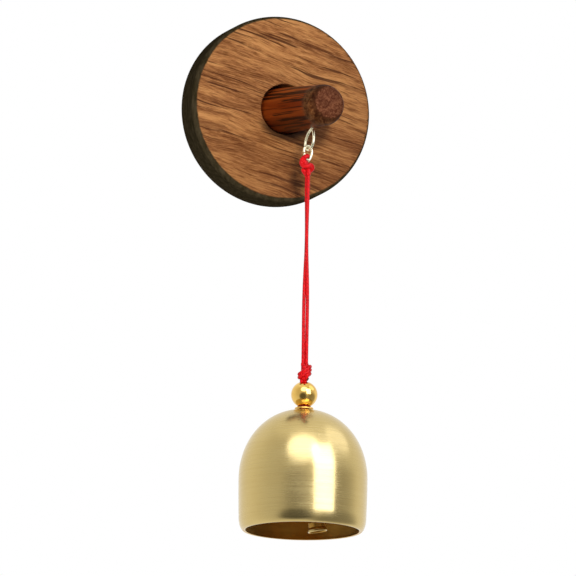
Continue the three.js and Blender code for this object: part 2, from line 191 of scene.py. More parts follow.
def drawn_wire(name: str, points: Sequence[Point], radius: float) -> bpy.types.Object:
    """Bends a round wire along a path.

    Args:
        name: The piece's name.
        points: Points of its middle line in millimetres.
        radius: Radius of the wire in millimetres.

    Returns:
        The wire as a closed mesh object.
    """
    clear_selection()
    bpy.ops.curve.primitive_bezier_curve_add(location=(0, 0, 0))
    piece = bpy.context.object
    piece.name = name
    spline = piece.data.splines[0]
    spline.bezier_points.add(len(points) - 2)
    for knot, point in zip(spline.bezier_points, points):
        knot.co = [c * MM for c in point]
        knot.handle_left_type = knot.handle_right_type = "AUTO"
    piece.data.bevel_depth = radius * MM
    piece.data.bevel_resolution = WIRE_SECTION
    piece.data.resolution_u = WIRE_STEPS
    piece.data.use_fill_caps = True
    bpy.ops.object.convert(target="MESH")
    piece = bpy.context.object
    bpy.ops.object.mode_set(mode="EDIT")
    bpy.ops.mesh.select_all(action="SELECT")
    bpy.ops.mesh.remove_doubles(threshold=WIRE_MERGE)
    bpy.ops.mesh.normals_make_consistent(inside=False)
    clear_selection()
    smooth(piece, SOFT_CORNER)
    return piece


def through(points: Sequence[Sequence[float]], steps: int) -> list[Vector]:
    """A smooth line through points.

    Args:
        points: The points it passes through.
        steps: Points of the line for each gap between two of them.

    Returns:
        Evenly numbered points of a Catmull-Rom curve.
    """
    held = [Vector(p) for p in points]
    held = [2 * held[0] - held[1], *held, 2 * held[-1] - held[-2]]
    line = []
    for a, b, c, d in zip(held, held[1:], held[2:], held[3:]):
        for i in range(steps):
            t = i / steps
            line.append(0.5 * ((2 * b) + (c - a) * t + (2 * a - 5 * b + 4 * c - d) * t * t
                               + (3 * b - a - 3 * c + d) * t ** 3))
    return [*line, held[-2]]


def laid_cord(name: str, line: Sequence[Vector], radius: float, sides: int = 20) -> bpy.types.Object:
    """Lays a round cord along a line, with a UV map in millimetres round and along it.

    Args:
        name: The piece's name.
        line: Points of its middle line in metres.
        radius: Radius in metres.
        sides: Sides of its section.

    Returns:
        The cord as a closed mesh object.
    """
    verts, faces, loops = [], [], []
    tangent = (line[1] - line[0]).normalized()
    across = tangent.orthogonal().normalized()
    run, runs = 0.0, []
    for i, point in enumerate(line):
        ahead = (line[min(i + 1, len(line) - 1)] - line[max(i - 1, 0)]).normalized()
        across = (tangent.rotation_difference(ahead) @ across).normalized()
        tangent = ahead
        other = tangent.cross(across)
        run += (point - line[i - 1]).length if i else 0.0
        runs.append(run)
        for k in range(sides):
            turn = 2 * math.pi * k / sides
            verts.append(point + radius * (math.cos(turn) * across + math.sin(turn) * other))
    girth = 2 * math.pi * radius / MM
    for i in range(len(line) - 1):
        for k in range(sides):
            j = (k + 1) % sides
            faces.append((i * sides + k, i * sides + j, (i + 1) * sides + j, (i + 1) * sides + k))
            u, v = k / sides * girth, (k + 1) / sides * girth
            loops += [(u, runs[i] / MM), (v, runs[i] / MM), (v, runs[i + 1] / MM), (u, runs[i + 1] / MM)]
    for first, order in ((0, range(sides - 1, -1, -1)), ((len(line) - 1) * sides, range(sides))):
        faces.append(tuple(first + k for k in order))
        loops += [(k / sides * girth, 0.0) for k in order]
    mesh = bpy.data.meshes.new(name)
    mesh.from_pydata(verts, [], faces)
    layer = mesh.uv_layers.new(name="UVMap")
    for spot, uv in zip(layer.data, loops):
        spot.uv = uv
    mesh.shade_smooth()
    piece = bpy.data.objects.new(name, mesh)
    bpy.context.scene.collection.objects.link(piece)
    return piece


def cut_away(piece: bpy.types.Object, cutter: bpy.types.Object) -> None:
    """Cuts one piece's space out of another and drops the cutter.

    Args:
        piece: The piece that is cut.
        cutter: The closed mesh that cuts it.
    """
    choose(piece)
    tool = piece.modifiers.new("cut", "BOOLEAN")
    tool.operation = "DIFFERENCE"
    tool.solver = "EXACT"
    tool.object = cutter
    bpy.ops.object.modifier_apply(modifier=tool.name)
    bpy.data.objects.remove(cutter)


def joined(name: str, pieces: Sequence[bpy.types.Object]) -> bpy.types.Object:
    """Joins several meshes into one piece.

    Args:
        name: The joined piece's name.
        pieces: The objects to join.

    Returns:
        The joined object.
    """
    choose(pieces[0])
    for piece in pieces[1:]:
        piece.select_set(True)
    bpy.ops.object.join()
    pieces[0].name = name
    clear_selection()
    return pieces[0]


def lined(piece: bpy.types.Object, outside: bpy.types.Material, inside: bpy.types.Material) -> None:
    """Gives a piece turned about Z one finish outside and another on its inner faces.

    Args:
        piece: The turned piece, about the origin.
        outside: Finish of its outer faces.
        inside: Finish of the faces that look towards its axis.
    """
    piece.data.materials.append(outside)
    piece.data.materials.append(inside)
    for face in piece.data.polygons:
        way = Vector((face.center.x, face.center.y, 0)).normalized()
        if way.dot(face.normal) < INWARD:
            face.material_index = 1


def fitted(piece: bpy.types.Object, finish: bpy.types.Material, slot: Slot, body: Body, *nodes: str) -> None:
    """Gives a piece its finish, its body and the CAD nodes it stands for.

    Args:
        piece: The finished piece.
        finish: Its material.
        slot: The record's slot of that finish; not used.
        body: The body it moves with.
        nodes: CAD nodes that it replaces.
    """
    if not piece.data.materials:
        piece.data.materials.append(finish)
    if nodes:
        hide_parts(*nodes)
    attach(piece, body.value)
    LOG.info("%s rides on %s, %d faces", piece.name, body.value, len(piece.data.polygons))


# Finishes


class Grain(NamedTuple):
    """A noise: its scale along each axis, its octaves, how strong the fine ones are, and its warp."""

    scale: Point
    detail: float = 4
    rough: float = 0.55
    warp: float = 0


class Fade(NamedTuple):
    """A smooth change: the values where it starts and ends, and what it gives there."""

    start: float
    end: float
    low: float = 0
    high: float = 1


class Marks(NamedTuple):
    """Marks that stand out of a noise, and how strongly they show."""

    grain: Grain
    fade: Fade
    strength: float


class Nodes:
    """Adds and links the nodes of a tree."""

    def __init__(self, tree: bpy.types.NodeTree) -> None:
        """Takes the tree.

        Args:
            tree: The tree to add to.
        """
        self.tree = tree

    def put(self, socket: bpy.types.NodeSocket, value: object) -> None:
        """Links or sets an input.

        Args:
            socket: The input.
            value: An output to link, or a number, colour or vector. None leaves the input alone.
        """
        if isinstance(value, bpy.types.NodeSocket):
            self.tree.links.new(value, socket)
        elif value is not None:
            socket.default_value = value

    def add(self, kind: str, **settings: object) -> bpy.types.Node:
        """Adds a node.

        Args:
            kind: Type of the node, after ShaderNode.
            settings: Its properties.

        Returns:
            The node.
        """
        node = self.tree.nodes.new("ShaderNode" + kind)
        for key, value in settings.items():
            setattr(node, key, value)
        return node

    def band(self, value: bpy.types.NodeSocket, fade: Fade) -> bpy.types.NodeSocket:
        """Maps a range smoothly to another.

        Args:
            value: The value.
            fade: The range and what it becomes.

        Returns:
            The mapped value.
        """
        node = self.add("MapRange", interpolation_type="SMOOTHSTEP")
        self.put(node.inputs[0], value)
        for i, limit in enumerate(fade):
            node.inputs[i + 1].default_value = limit
        return node.outputs[0]

    def math(self, operation: str, first: object, second: object = None) -> bpy.types.NodeSocket:
        """Works out one or two values.

        Args:
            operation: The math node's operation.
            first: First value.
            second: Second value.

        Returns:
            The result.
        """
        node = self.add("Math", operation=operation)
        self.put(node.inputs[0], first)
        self.put(node.inputs[1], second)
        return node.outputs[0]

    def plus(self, first: object, second: object) -> bpy.types.NodeSocket:
        """Adds two values."""
        return self.math("ADD", first, second)

    def minus(self, first: object, second: object) -> bpy.types.NodeSocket:
        """Takes the second value from the first."""
        return self.math("SUBTRACT", first, second)

    def times(self, first: object, second: object) -> bpy.types.NodeSocket:
        """Multiplies two values."""
        return self.math("MULTIPLY", first, second)

    def weighed(self, *parts: tuple[bpy.types.NodeSocket, float]) -> bpy.types.NodeSocket:
        """Adds up values, each times its share.

        Args:
            parts: Each value and its share.

        Returns:
            The sum.
        """
        first = self.times(*parts[0])
        return self.plus(first, self.weighed(*parts[1:])) if parts[1:] else first


class Recipe(Nodes):
    """The nodes of one material."""

    def __init__(self, name: str) -> None:
        """Starts a material with its surface shader.

        Args:
            name: The material's name.
        """
        self.material = bpy.data.materials.new(name)
        self.material.use_nodes = True
        super().__init__(self.material.node_tree)
        self.surface = self.tree.nodes["Principled BSDF"]
        self.coordinates = self.add("TexCoord")

    def scaled(self, scale: Point, turn: Point = (0, 0, 0)) -> bpy.types.NodeSocket:
        """Object coordinates, turned and then scaled.

        Args:
            scale: Scale along each axis.
            turn: Turn about each axis in degrees.

        Returns:
            The vector output.
        """
        turner = self.add("Mapping")
        self.put(turner.inputs["Vector"], self.coordinates.outputs["Object"])
        turner.inputs["Rotation"].default_value = [math.radians(a) for a in turn]
        scaler = self.add("Mapping")
        self.put(scaler.inputs["Vector"], turner.outputs[0])
        scaler.inputs["Scale"].default_value = scale
        return scaler.outputs[0]

    def noise(self, vector: bpy.types.NodeSocket, detail: float, rough: float, warp: float = 0,
              scale: float = 1) -> bpy.types.NodeSocket:
        """Noise at a place.

        Args:
            vector: The place.
            detail: Its octaves.
            rough: How strong the fine octaves are.
            warp: How far it is warped.
            scale: Its scale, on top of the place's own.

        Returns:
            The factor output.
        """
        node = self.add("TexNoise")
        self.put(node.inputs["Vector"], vector)
        for key, value in (("Scale", scale), ("Detail", detail), ("Roughness", rough), ("Distortion", warp)):
            node.inputs[key].default_value = value
        return node.outputs[0]

    def pattern(self, grain: Grain, turn: Point = (0, 0, 0)) -> bpy.types.NodeSocket:
        """Noise in object coordinates.

        Args:
            grain: The noise.
            turn: Turn about each axis in degrees.

        Returns:
            The factor output.
        """
        return self.noise(self.scaled(grain.scale, turn), *grain[1:])

    def cells(self, scale: float) -> bpy.types.NodeSocket:
        """Distance from the middle of each cell of a Voronoi pattern.

        Args:
            scale: Cells for each metre.

        Returns:
            The distance output.
        """
        node = self.add("TexVoronoi")
        self.put(node.inputs["Vector"], self.scaled((1, 1, 1)))
        node.inputs["Scale"].default_value = scale
        return node.outputs["Distance"]

    def ramp(self, value: bpy.types.NodeSocket, places: Sequence[float],
             colours: Sequence[Point]) -> bpy.types.NodeSocket:
        """A colour ramp.

        Args:
            value: The value that it is read at.
            places: Value of each stop.
            colours: Linear colour of each stop.

        Returns:
            The colour output.
        """
        node = self.add("ValToRGB")
        self.put(node.inputs[0], value)
        held = node.color_ramp.elements
        while len(held) < len(places):
            held.new(0.5)
        for element, place_on, colour in zip(held, places, colours):
            element.position = place_on
            element.color = (*colour, 1.0)
        return node.outputs[0]

    def mix(self, share: object, first: object, second: object) -> bpy.types.NodeSocket:
        """Mixes two colours.

        Args:
            share: Share of the second.
            first: First colour.
            second: Second colour.

        Returns:
            The colour output.
        """
        node = self.add("Mix", data_type="RGBA")
        self.put(node.inputs[0], share)
        for socket, value in ((node.inputs[6], first), (node.inputs[7], second)):
            self.put(socket, (*value, 1.0) if isinstance(value, tuple) else value)
        return node.outputs[2]

    def bump(self, height: bpy.types.NodeSocket, depth: float, strength: float,
             under: Optional[bpy.types.NodeSocket] = None) -> bpy.types.NodeSocket:
        """Raises the surface.

        Args:
            height: The height, from 0 to 1.
            depth: What 1 stands for, in metres.
            strength: How strongly it shows.
            under: Bump that it is added to.

        Returns:
            The normal output.
        """
        node = self.add("Bump")
        node.inputs["Strength"].default_value = strength
        node.inputs["Distance"].default_value = depth
        self.put(node.inputs["Height"], height)
        self.put(node.inputs["Normal"], under)
        return node.outputs[0]

    def axes(self) -> list[bpy.types.NodeSocket]:
        """The three object coordinates in metres."""
        node = self.add("SeparateXYZ")
        self.put(node.inputs[0], self.coordinates.outputs["Object"])
        return node.outputs[:3]

    def reach(self, first: bpy.types.NodeSocket, second: bpy.types.NodeSocket) -> bpy.types.NodeSocket:
        """Distance from the axis that two coordinates are measured from.

        Args:
            first: One coordinate.
            second: The other.

        Returns:
            The distance.
        """
        return self.math("SQRT", self.plus(self.times(first, first), self.times(second, second)))

    def finish(self, colour: object, rough: object, normal: Optional[bpy.types.NodeSocket] = None,
               **constants: object) -> bpy.types.Material:
        """Ends the material.

        Args:
            colour: Base colour.
            rough: Roughness.
            normal: Bumped normal.
            constants: Other inputs of the shader, with _ for a space.

        Returns:
            The material.
        """
        self.put(self.surface.inputs["Base Color"], colour)
        self.put(self.surface.inputs["Roughness"], rough)
        self.put(self.surface.inputs["Normal"], normal)
        for key, value in constants.items():
            self.put(self.surface.inputs[key.replace("_", " ")], value)
        return self.material


@dataclass(frozen=True)
class DiscWood:
    """Open-grained hardwood with its grain down to the right, and a stained, near-black rim.

    The streaks are drawn out along the grain, with their scales for each millimetre.
    """

    light: Point = (0.47, 0.215, 0.070)
    middle: Point = (0.275, 0.108, 0.034)
    dark: Point = (0.115, 0.038, 0.011)
    pore: Point = (0.050, 0.015, 0.005)
    rim: Point = (0.026, 0.0195, 0.0085)
    rim_light: Point = (0.052, 0.039, 0.021)
    # painted shade: near-black for the wall of the hole and for the painted shadow under it
    inside: Point = (0.012, 0.005, 0.003)
    lean: float = -15.0
    sway: Grain = Grain((22, 60, 60), 2)
    sway_reach: Fade = Fade(0, 1, -2.4, 2.4)
    broad: Grain = Grain((0.02, 0.12, 0.12), 3, 0.6)
    medium: Grain = Grain((0.07, 0.8, 0.8), 4, 0.7, 0.25)
    fine: Grain = Grain((0.26, 3.0, 3.0), 3, 0.7)
    shares: Point = (0.26, 0.40, 0.34)
    lines: Marks = Marks(Grain((0.04, 1.15, 1.15), 2, 0.5, 0.15), Fade(0.595, 0.66), 0.85)
    wide: Marks = Marks(Grain((0.025, 0.42, 0.42), 3, 0.6, 0.15), Fade(0.58, 0.68), 0.5)
    flecks: Marks = Marks(Grain((0.2, 2.4, 2.4), 2, 0.5), Fade(0.60, 0.68), 0.65)
    tones: Point = (0.41, 0.485, 0.575)
    low_way: Pair = (0.4, 0.9)  # it gets darker down to the right
    low: Fade = Fade(16 * MM, -24 * MM, 0, 0.34)
    face_radius: float = 28.9 * MM
    rim_shade_shift: Pair = (0.018, 0.010)  # painted shade: the dark of the rim reaches further in over the rounded edge at the lower left
    face_wobble: Fade = Fade(0, 1, -0.3 * MM, 0.3 * MM)
    face_blur: float = 0.25 * MM
    rim_grain: Grain = Grain((900, 900, 260), 3)
    rim_tones: Pair = (0.35, 0.7)
    hole_across: float = 1.4 * MM
    hole_radius: float = 8.1 * MM
    hole_blur: float = 0.1 * MM
    painted_shadow_out: Pair = (3.4 * MM, 0.4 * MM)  # painted shadow under the hole, from its outer to its inner edge
    painted_shadow_down: Fade = Fade(-2.5 * MM, -6.5 * MM, 0, 0.85)
    relief: Pair = (0.6, 0.5)  # shares of the medium streaks and of the flecks
    relief_depth: float = 0.12 * MM
    relief_strength: float = 0.8
    rough: Fade = Fade(0.3, 0.7, 0.8, 0.62)
    gloss: Fade = Fade(0, 1, 0.06, 0)

    def material(self) -> bpy.types.Material:
        """Builds the material."""
        r = Recipe("disc_wood")
        lean = (0.0, self.lean, 0.0)
        sway = r.pattern(self.sway, lean)
        grain = r.add("Mapping")
        r.put(grain.inputs["Vector"], r.scaled((PER_MM, PER_MM, PER_MM), lean))
        shift = r.add("CombineXYZ")
        r.put(shift.inputs[2], r.band(sway, self.sway_reach))
        r.put(grain.inputs["Location"], shift.outputs[0])

        def streaks(held: Grain) -> bpy.types.NodeSocket:
            """Noise drawn out along the grain."""
            drawn = r.add("Mapping")
            drawn.inputs["Scale"].default_value = held.scale
            r.put(drawn.inputs["Vector"], grain.outputs[0])
            return r.noise(drawn.outputs[0], *held[1:])

        broad, medium, fine = [streaks(held) for held in (self.broad, self.medium, self.fine)]
        tone = r.weighed(*zip((broad, medium, fine), self.shares))
        face = r.ramp(tone, self.tones, (self.dark, self.middle, self.light))
        marks = (self.lines, self.wide, self.flecks)
        lines, wide, flecks = [r.band(streaks(held.grain), held.fade) for held in marks]
        face = r.mix(r.times(flecks, self.flecks.strength), face, self.dark)
        face = r.mix(r.times(wide, self.wide.strength), face, self.dark)
        face = r.mix(r.times(lines, self.lines.strength), face, self.pore)
        x, _, z = r.axes()
        low = r.minus(r.times(z, self.low_way[1]), r.times(x, self.low_way[0]))
        face = r.mix(r.band(low, self.low), face, self.dark)
        # painted shade: the rim's dark edge is shifted in towards the lower left
        shift = r.weighed((x, self.rim_shade_shift[0]), (z, self.rim_shade_shift[1]))
        edge = r.minus(r.plus(r.reach(x, z), r.band(medium, self.face_wobble)), shift)
        rim = r.ramp(r.pattern(self.rim_grain), self.rim_tones, (self.rim, self.rim_light))
        beyond = r.band(edge, Fade(self.face_radius - self.face_blur, self.face_radius + self.face_blur))
        face = r.mix(beyond, face, rim)
        bore = r.reach(r.minus(x, self.hole_across), z)
        # painted shadow: the wood under the lower edge of the hole is darkened towards the hole's near-black
        near = Fade(*(self.hole_radius + out for out in self.painted_shadow_out))
        face = r.mix(r.times(r.band(bore, near), r.band(z, self.painted_shadow_down)), face, self.inside)
        # painted shade: the wall of the hole is painted near-black
        within = r.band(bore, Fade(self.hole_radius + self.hole_blur, self.hole_radius))
        face = r.mix(within, face, self.inside)
        relief = r.minus(r.times(medium, self.relief[0]), r.plus(lines, r.times(flecks, self.relief[1])))
        normal = r.bump(relief, self.relief_depth, self.relief_strength)
        return r.finish(face, r.band(medium, self.rough), normal,
                        Specular_IOR_Level=r.band(beyond, self.gloss))


@dataclass(frozen=True)
class PegWood:
    """Red-brown hardwood with dark stripes along the peg, a mottled band near its end and open end grain."""

    light: Point = (0.36, 0.066, 0.008)
    middle: Point = (0.175, 0.022, 0.002)
    stripe_and_shade: Point = (0.014, 0.002, 0.001)
    band_light: Point = (0.150, 0.062, 0.022)
    band_dark: Point = (0.042, 0.015, 0.004)
    grain_light: Point = (0.175, 0.062, 0.028)
    grain_dark: Point = (0.052, 0.013, 0.005)
    droop: float = 6.9
    droop_from: float = -8.025 * MM
    broad: Grain = Grain((200, 14, 330), 3, 0.5, 0.5)
    lines: Grain = Grain((400, 15, 1150), 3, 0.6, 0.4)
    tones: Pair = (0.36, 0.60)
    upper: Fade = Fade(0.8 * MM, 3.2 * MM)
    lower: Fade = Fade(-2.5 * MM, -5.0 * MM)
    often: Pair = (0.10, 0.04)  # how much more often stripes come on the upper and the lower part
    stripes: Fade = Fade(0.59, 0.63)
    stripe_strength: float = 0.95
    # painted shade: the peg darkens towards its underside
    shade: Fade = Fade(-0.5 * MM, -6.0 * MM, 0, 0.62)
    mottle: Grain = Grain((800, 500, 800), 5, 0.7)
    mottle_tones: Pair = (0.40, 0.60)
    grains: Grain = Grain((1100, 500, 1100), 5, 0.75)
    grain_tones: Pair = (0.38, 0.62)
    ragged: Fade = Fade(0, 1, -1.6 * MM, 1.6 * MM)
    band_from: float = -46.2 * MM  # the mottled band starts here, and its ragged edge is before and after it
    band_before: float = 1.5 * MM
    band_after: float = 3 * MM
    band_strength: float = 0.9
    end_middle: Pair = (2.5 * MM, -4.4 * MM)
    end_radius: float = 5.2 * MM
    end_wobble: Fade = Fade(0.2, 0.8, -0.5 * MM, 0.5 * MM)
    end_blur: float = 0.4 * MM
    end_face: Fade = Fade(-48.5 * MM, -49.5 * MM)
    ring_out: Pair = (1.9 * MM, 0.9 * MM)  # a dark ring round the end grain
    ring_face: Fade = Fade(-47.2 * MM, -48.4 * MM, 0, 0.6)
    rough: Pair = (0.36, 0.55)
    rough_after: float = 4 * MM
    gloss: Pair = (0.04, 0.02)
    relief_depth: float = 0.14 * MM
    relief_strength: float = 0.6

    def material(self) -> bpy.types.Material:
        """Builds the material."""
        r = Recipe("peg_wood")
        lean = (-self.droop, 0.0, 0.0)
        x, y, z = r.axes()
        height = r.minus(z, r.times(r.minus(y, self.droop_from), math.tan(math.radians(self.droop))))
        broad = r.pattern(self.broad, lean)
        lines = r.pattern(self.lines, lean)
        side = r.ramp(broad, self.tones, (self.middle, self.light))
        often = r.weighed(*zip((r.band(height, self.upper), r.band(height, self.lower)), self.often))
        stripes = r.band(r.plus(lines, often), self.stripes)
        side = r.mix(r.times(stripes, self.stripe_strength), side, self.stripe_and_shade)
        # painted shade on the peg's underside
        side = r.mix(r.band(height, self.shade), side, self.stripe_and_shade)
        mottle = r.pattern(self.mottle)
        band = r.ramp(mottle, self.mottle_tones, (self.band_dark, self.band_light))
        grains = r.pattern(self.grains)
        end = r.ramp(grains, self.grain_tones, (self.grain_dark, self.grain_light))
        ragged = r.plus(y, r.band(mottle, self.ragged))
        start, after = self.band_from, self.band_from - self.band_after
        mottled = r.band(ragged, Fade(start + self.band_before, after, 0, self.band_strength))
        colour = r.mix(mottled, side, band)
        reach = r.reach(r.minus(x, self.end_middle[0]), r.minus(z, self.end_middle[1]))
        reach = r.plus(reach, r.band(mottle, self.end_wobble))
        edge, blur = self.end_radius, self.end_blur
        inside = r.times(r.band(reach, Fade(edge + blur, edge - blur)), r.band(y, self.end_face))
        outside = Fade(*(edge + out for out in self.ring_out))
        ring = r.times(r.band(reach, Fade(edge - blur, edge)), r.band(reach, outside))
        ring = r.times(ring, r.band(y, self.ring_face))
        colour = r.mix(ring, r.mix(inside, colour, end), self.stripe_and_shade)
        relief = r.mix(r.band(y, Fade(start, after)), lines, grains)
        rough = r.band(y, Fade(start, start - self.rough_after, *self.rough))
        return r.finish(colour, rough, r.bump(relief, self.relief_depth, self.relief_strength),
                        Specular_IOR_Level=r.band(y, Fade(start, after, *self.gloss)))


@dataclass(frozen=True)
class TurnedBrass:
    """Satin brass with fine lathe lines round it and a few small pits."""

    name: str
    light: Point = (0.64, 0.49, 0.20)
    dark: Point = (0.59, 0.44, 0.17)
    rough: float = 0.25
    line_depth: float = 0.004 * MM
    pits: bool = True
    anisotropic: float = 0.6
    tones: Pair = (0.35, 0.65)
    lines: Grain = Grain((25, 25, 5200), 3, 0.7)
    line_range: Pair = (0.3, 0.7)
    line_rough: float = 0.05
    line_strength: float = 0.6
    rings: Grain = Grain((40, 40, 1200), 4, 0.65)
    cloud: Grain = Grain((90, 90, 90), 3)
    cloud_rough: Fade = Fade(0.3, 0.7, -0.03, 0.03)
    cloud_share: float = 0.5
    pit_cells: float = 210
    pit_size: Fade = Fade(0.10, 0.04)
    pit_groups: Marks = Marks(Grain((120, 120, 120), 1), Fade(0.56, 0.62), 0.6)
    pit_colour: Point = (0.22, 0.14, 0.05)
    pit_depth: float = 0.06 * MM
    pit_strength: float = 0.8
    quarter_turn: float = 0.25

    def material(self) -> bpy.types.Material:
        """Builds the material."""
        r = Recipe(self.name)
        lines, rings, cloud = [r.pattern(grain) for grain in (self.lines, self.rings, self.cloud)]
        tone = r.weighed((cloud, self.cloud_share), (rings, 1 - self.cloud_share))
        colour = r.ramp(tone, self.tones, (self.dark, self.light))
        turned_rough = Fade(*self.line_range, self.rough - self.line_rough, self.rough + self.line_rough)
        rough = r.plus(r.band(lines, turned_rough), r.band(cloud, self.cloud_rough))
        normal = r.bump(lines, self.line_depth, self.line_strength)
        if self.pits:
            cells = r.cells(self.pit_cells)
            groups = r.band(r.pattern(self.pit_groups.grain), self.pit_groups.fade)
            pit = r.times(r.band(cells, self.pit_size), groups)
            colour = r.mix(r.times(pit, self.pit_groups.strength), colour, self.pit_colour)
            normal = r.bump(r.minus(1.0, pit), self.pit_depth, self.pit_strength, normal)
        around = r.add("Tangent", direction_type="RADIAL", axis="Z")
        r.put(r.surface.inputs["Tangent"], around.outputs[0])
        return r.finish(colour, rough, normal, Metallic=1.0, Anisotropic=self.anisotropic,
                        Anisotropic_Rotation=self.quarter_turn)


@dataclass(frozen=True)
class PolishedMetal:
    """Bright metal with faint clouding and hairline scratches."""

    name: str
    light: Point
    dark: Point
    rough: float
    cloud: Grain = Grain((260, 260, 260), 3)
    tones: Pair = (0.35, 0.65)
    hair: Grain = Grain((600, 600, 2600), 3, 0.7)
    hair_range: Pair = (0.35, 0.7)
    hair_rough: Pair = (0.75, 1.35)
    hair_depth: float = 0.004 * MM
    hair_strength: float = 0.5

    def material(self) -> bpy.types.Material:
        """Builds the material."""
        r = Recipe(self.name)
        cloud, hair = r.pattern(self.cloud), r.pattern(self.hair)
        colour = r.ramp(cloud, self.tones, (self.dark, self.light))
        rough = r.band(hair, Fade(*self.hair_range, *(self.rough * share for share in self.hair_rough)))
        return r.finish(colour, rough, r.bump(hair, self.hair_depth, self.hair_strength), Metallic=1.0)


@dataclass(frozen=True)
class WaxedCord:
    """Waxed cord of two twisted yarns, with the twist read from its UV map, which is in millimetres."""

    name: str = "red_cord"
    light: Point = (0.64, 0.007, 0.009)
    dark: Point = (0.38, 0.003, 0.004)
    yarns: int = 2
    girth: float = 3.456
    pitch: float = 1.25
    fibre_across: float = 7.0
    fibre_along: float = 0.8
    fibre_scale: float = 1.5
    fibre_detail: Pair = (3, 0.6)
    cloud: Grain = Grain((500, 500, 500), 3)
    shares: Point = (0.16, 0.40, 0.4)
    tones: Pair = (0.30, 0.55)
    fibre_height: float = 0.3
    relief_depth: float = 0.02 * MM
    relief_strength: float = 0.4
    rough: Fade = Fade(0.3, 0.7, 0.32, 0.50)
    gloss: float = 0.14

    def material(self) -> bpy.types.Material:
        """Builds the material."""
        r = Recipe(self.name)
        part = r.add("SeparateXYZ")
        r.put(part.inputs[0], r.coordinates.outputs["UV"])
        around, along = part.outputs[:2]
        twist = r.plus(r.times(around, self.yarns / self.girth), r.math("DIVIDE", along, self.pitch))
        yarn = r.math("ABSOLUTE", r.math("SINE", r.times(twist, math.pi)))
        drawn = r.add("CombineXYZ")
        r.put(drawn.inputs[0], r.times(twist, self.fibre_across))
        r.put(drawn.inputs[1], r.times(along, self.fibre_along))
        fibres = r.noise(drawn.outputs[0], *self.fibre_detail, scale=self.fibre_scale)
        # painted shade: the yarn term makes the grooves between the two yarns darker
        tone = r.weighed(*zip((yarn, fibres, r.pattern(self.cloud)), self.shares))
        colour = r.ramp(tone, self.tones, (self.dark, self.light))
        height = r.plus(yarn, r.times(fibres, self.fibre_height))
        normal = r.bump(height, self.relief_depth, self.relief_strength)
        return r.finish(colour, r.band(fibres, self.rough), normal, Specular_IOR_Level=self.gloss)


@dataclass(frozen=True)
class SealedEnd:
    """Cut end of the cord, melted and dark."""

    light: Point = (0.16, 0.008, 0.008)
    dark: Point = (0.03, 0.002, 0.002)
    tones: Pair = (0.35, 0.7)
    cloud: Grain = Grain((3000, 3000, 3000), 3)
    rough: float = 0.4
    relief_depth: float = 0.05 * MM
    relief_strength: float = 0.6

    def material(self) -> bpy.types.Material:
        """Builds the material."""
        r = Recipe("sealed_end")
        cloud = r.pattern(self.cloud)
        colour = r.ramp(cloud, self.tones, (self.dark, self.light))
        return r.finish(colour, self.rough, r.bump(cloud, self.relief_depth, self.relief_strength))


@dataclass(frozen=True)
class PadFoam:
    """Matt closed-cell foam."""

    light: Point = (0.80, 0.78, 0.73)
    dark: Point = (0.52, 0.50, 0.46)
    tones: Pair = (0.1, 0.7)
    cell_count: float = 2600
    rough: float = 0.92
    relief_depth: float = 0.08 * MM
    relief_strength: float = 0.6

    def material(self) -> bpy.types.Material:
        """Builds the material."""
        r = Recipe("foam")
        cells = r.cells(self.cell_count)
        colour = r.ramp(cells, self.tones, (self.dark, self.light))
        return r.finish(colour, self.rough, r.bump(cells, self.relief_depth, self.relief_strength))


# The object


def repaint(node: str, finish: bpy.types.Material) -> None:
    """Gives a CAD node that stays its finish, with its surface shaded smooth.

    Args:
        node: The node's name.
        finish: The material.
    """
    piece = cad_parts[node]
    smooth(piece)
    piece.data.materials.clear()
    piece.data.materials.append(finish)
    LOG.info("%s keeps its CAD mesh", node)


@dataclass
class WallDisc:
    """Round hardwood plate with the peg's hole, and the foam pad behind it. Millimetres."""

    radius: float = 30.0
    face: float = -12.0
    face_rings: Pair = (14.0, 28.4)
    back: float = -1.0
    front_round: float = 1.4
    back_chamfer: float = 0.5
    hole_across: float = 1.4
    hole_radius: float = 8.185
    hole_bottom: float = -4.05
    hole_edge: float = 0.2
    cut_over: float = 2.0
    round_steps: int = 10
    hole_sides: int = 96
    sides: int = 192

    def hole(self) -> bpy.types.Object:
        """Turns the cutter of the hole, with a flare that breaks its front edge."""
        r, e = self.hole_radius, self.hole_edge
        over = self.face - self.cut_over
        profile = [(0, self.hole_bottom), (r, self.hole_bottom), (r, self.face + e),
                   (r + 2 * e, self.face - e), (r + 2 * e, over), (0, over)]
        cutter = turned("hole_cutter", profile, self.hole_sides)
        place(cutter, Matrix.Translation((self.hole_across * MM, 0, 0)) @ TO_WALL)
        return cutter

    def build(self, wood: bpy.types.Material, foam: bpy.types.Material) -> None:
        """Builds the disc and dresses the pad.

        Args:
            wood: The disc's finish.
            foam: The pad's finish.
        """
        rim = arc((self.radius - self.front_round, self.face + self.front_round), (0, -self.front_round),
                  (self.front_round, 0), self.round_steps)
        profile = [(0, self.face), *((ring, self.face) for ring in self.face_rings), *rim,
                   (self.radius, self.back - self.back_chamfer), (self.radius - self.back_chamfer, self.back),
                   (0, self.back)]
        disc = turned("disc_plate", profile, self.sides)
        place(disc, TO_WALL)
        cut_away(disc, self.hole())
        smooth(disc)
        fitted(disc, wood, Slot.DISC_WOOD, Body.WALL_MOUNT, "wall_disc")
        repaint("adhesive_pad", foam)


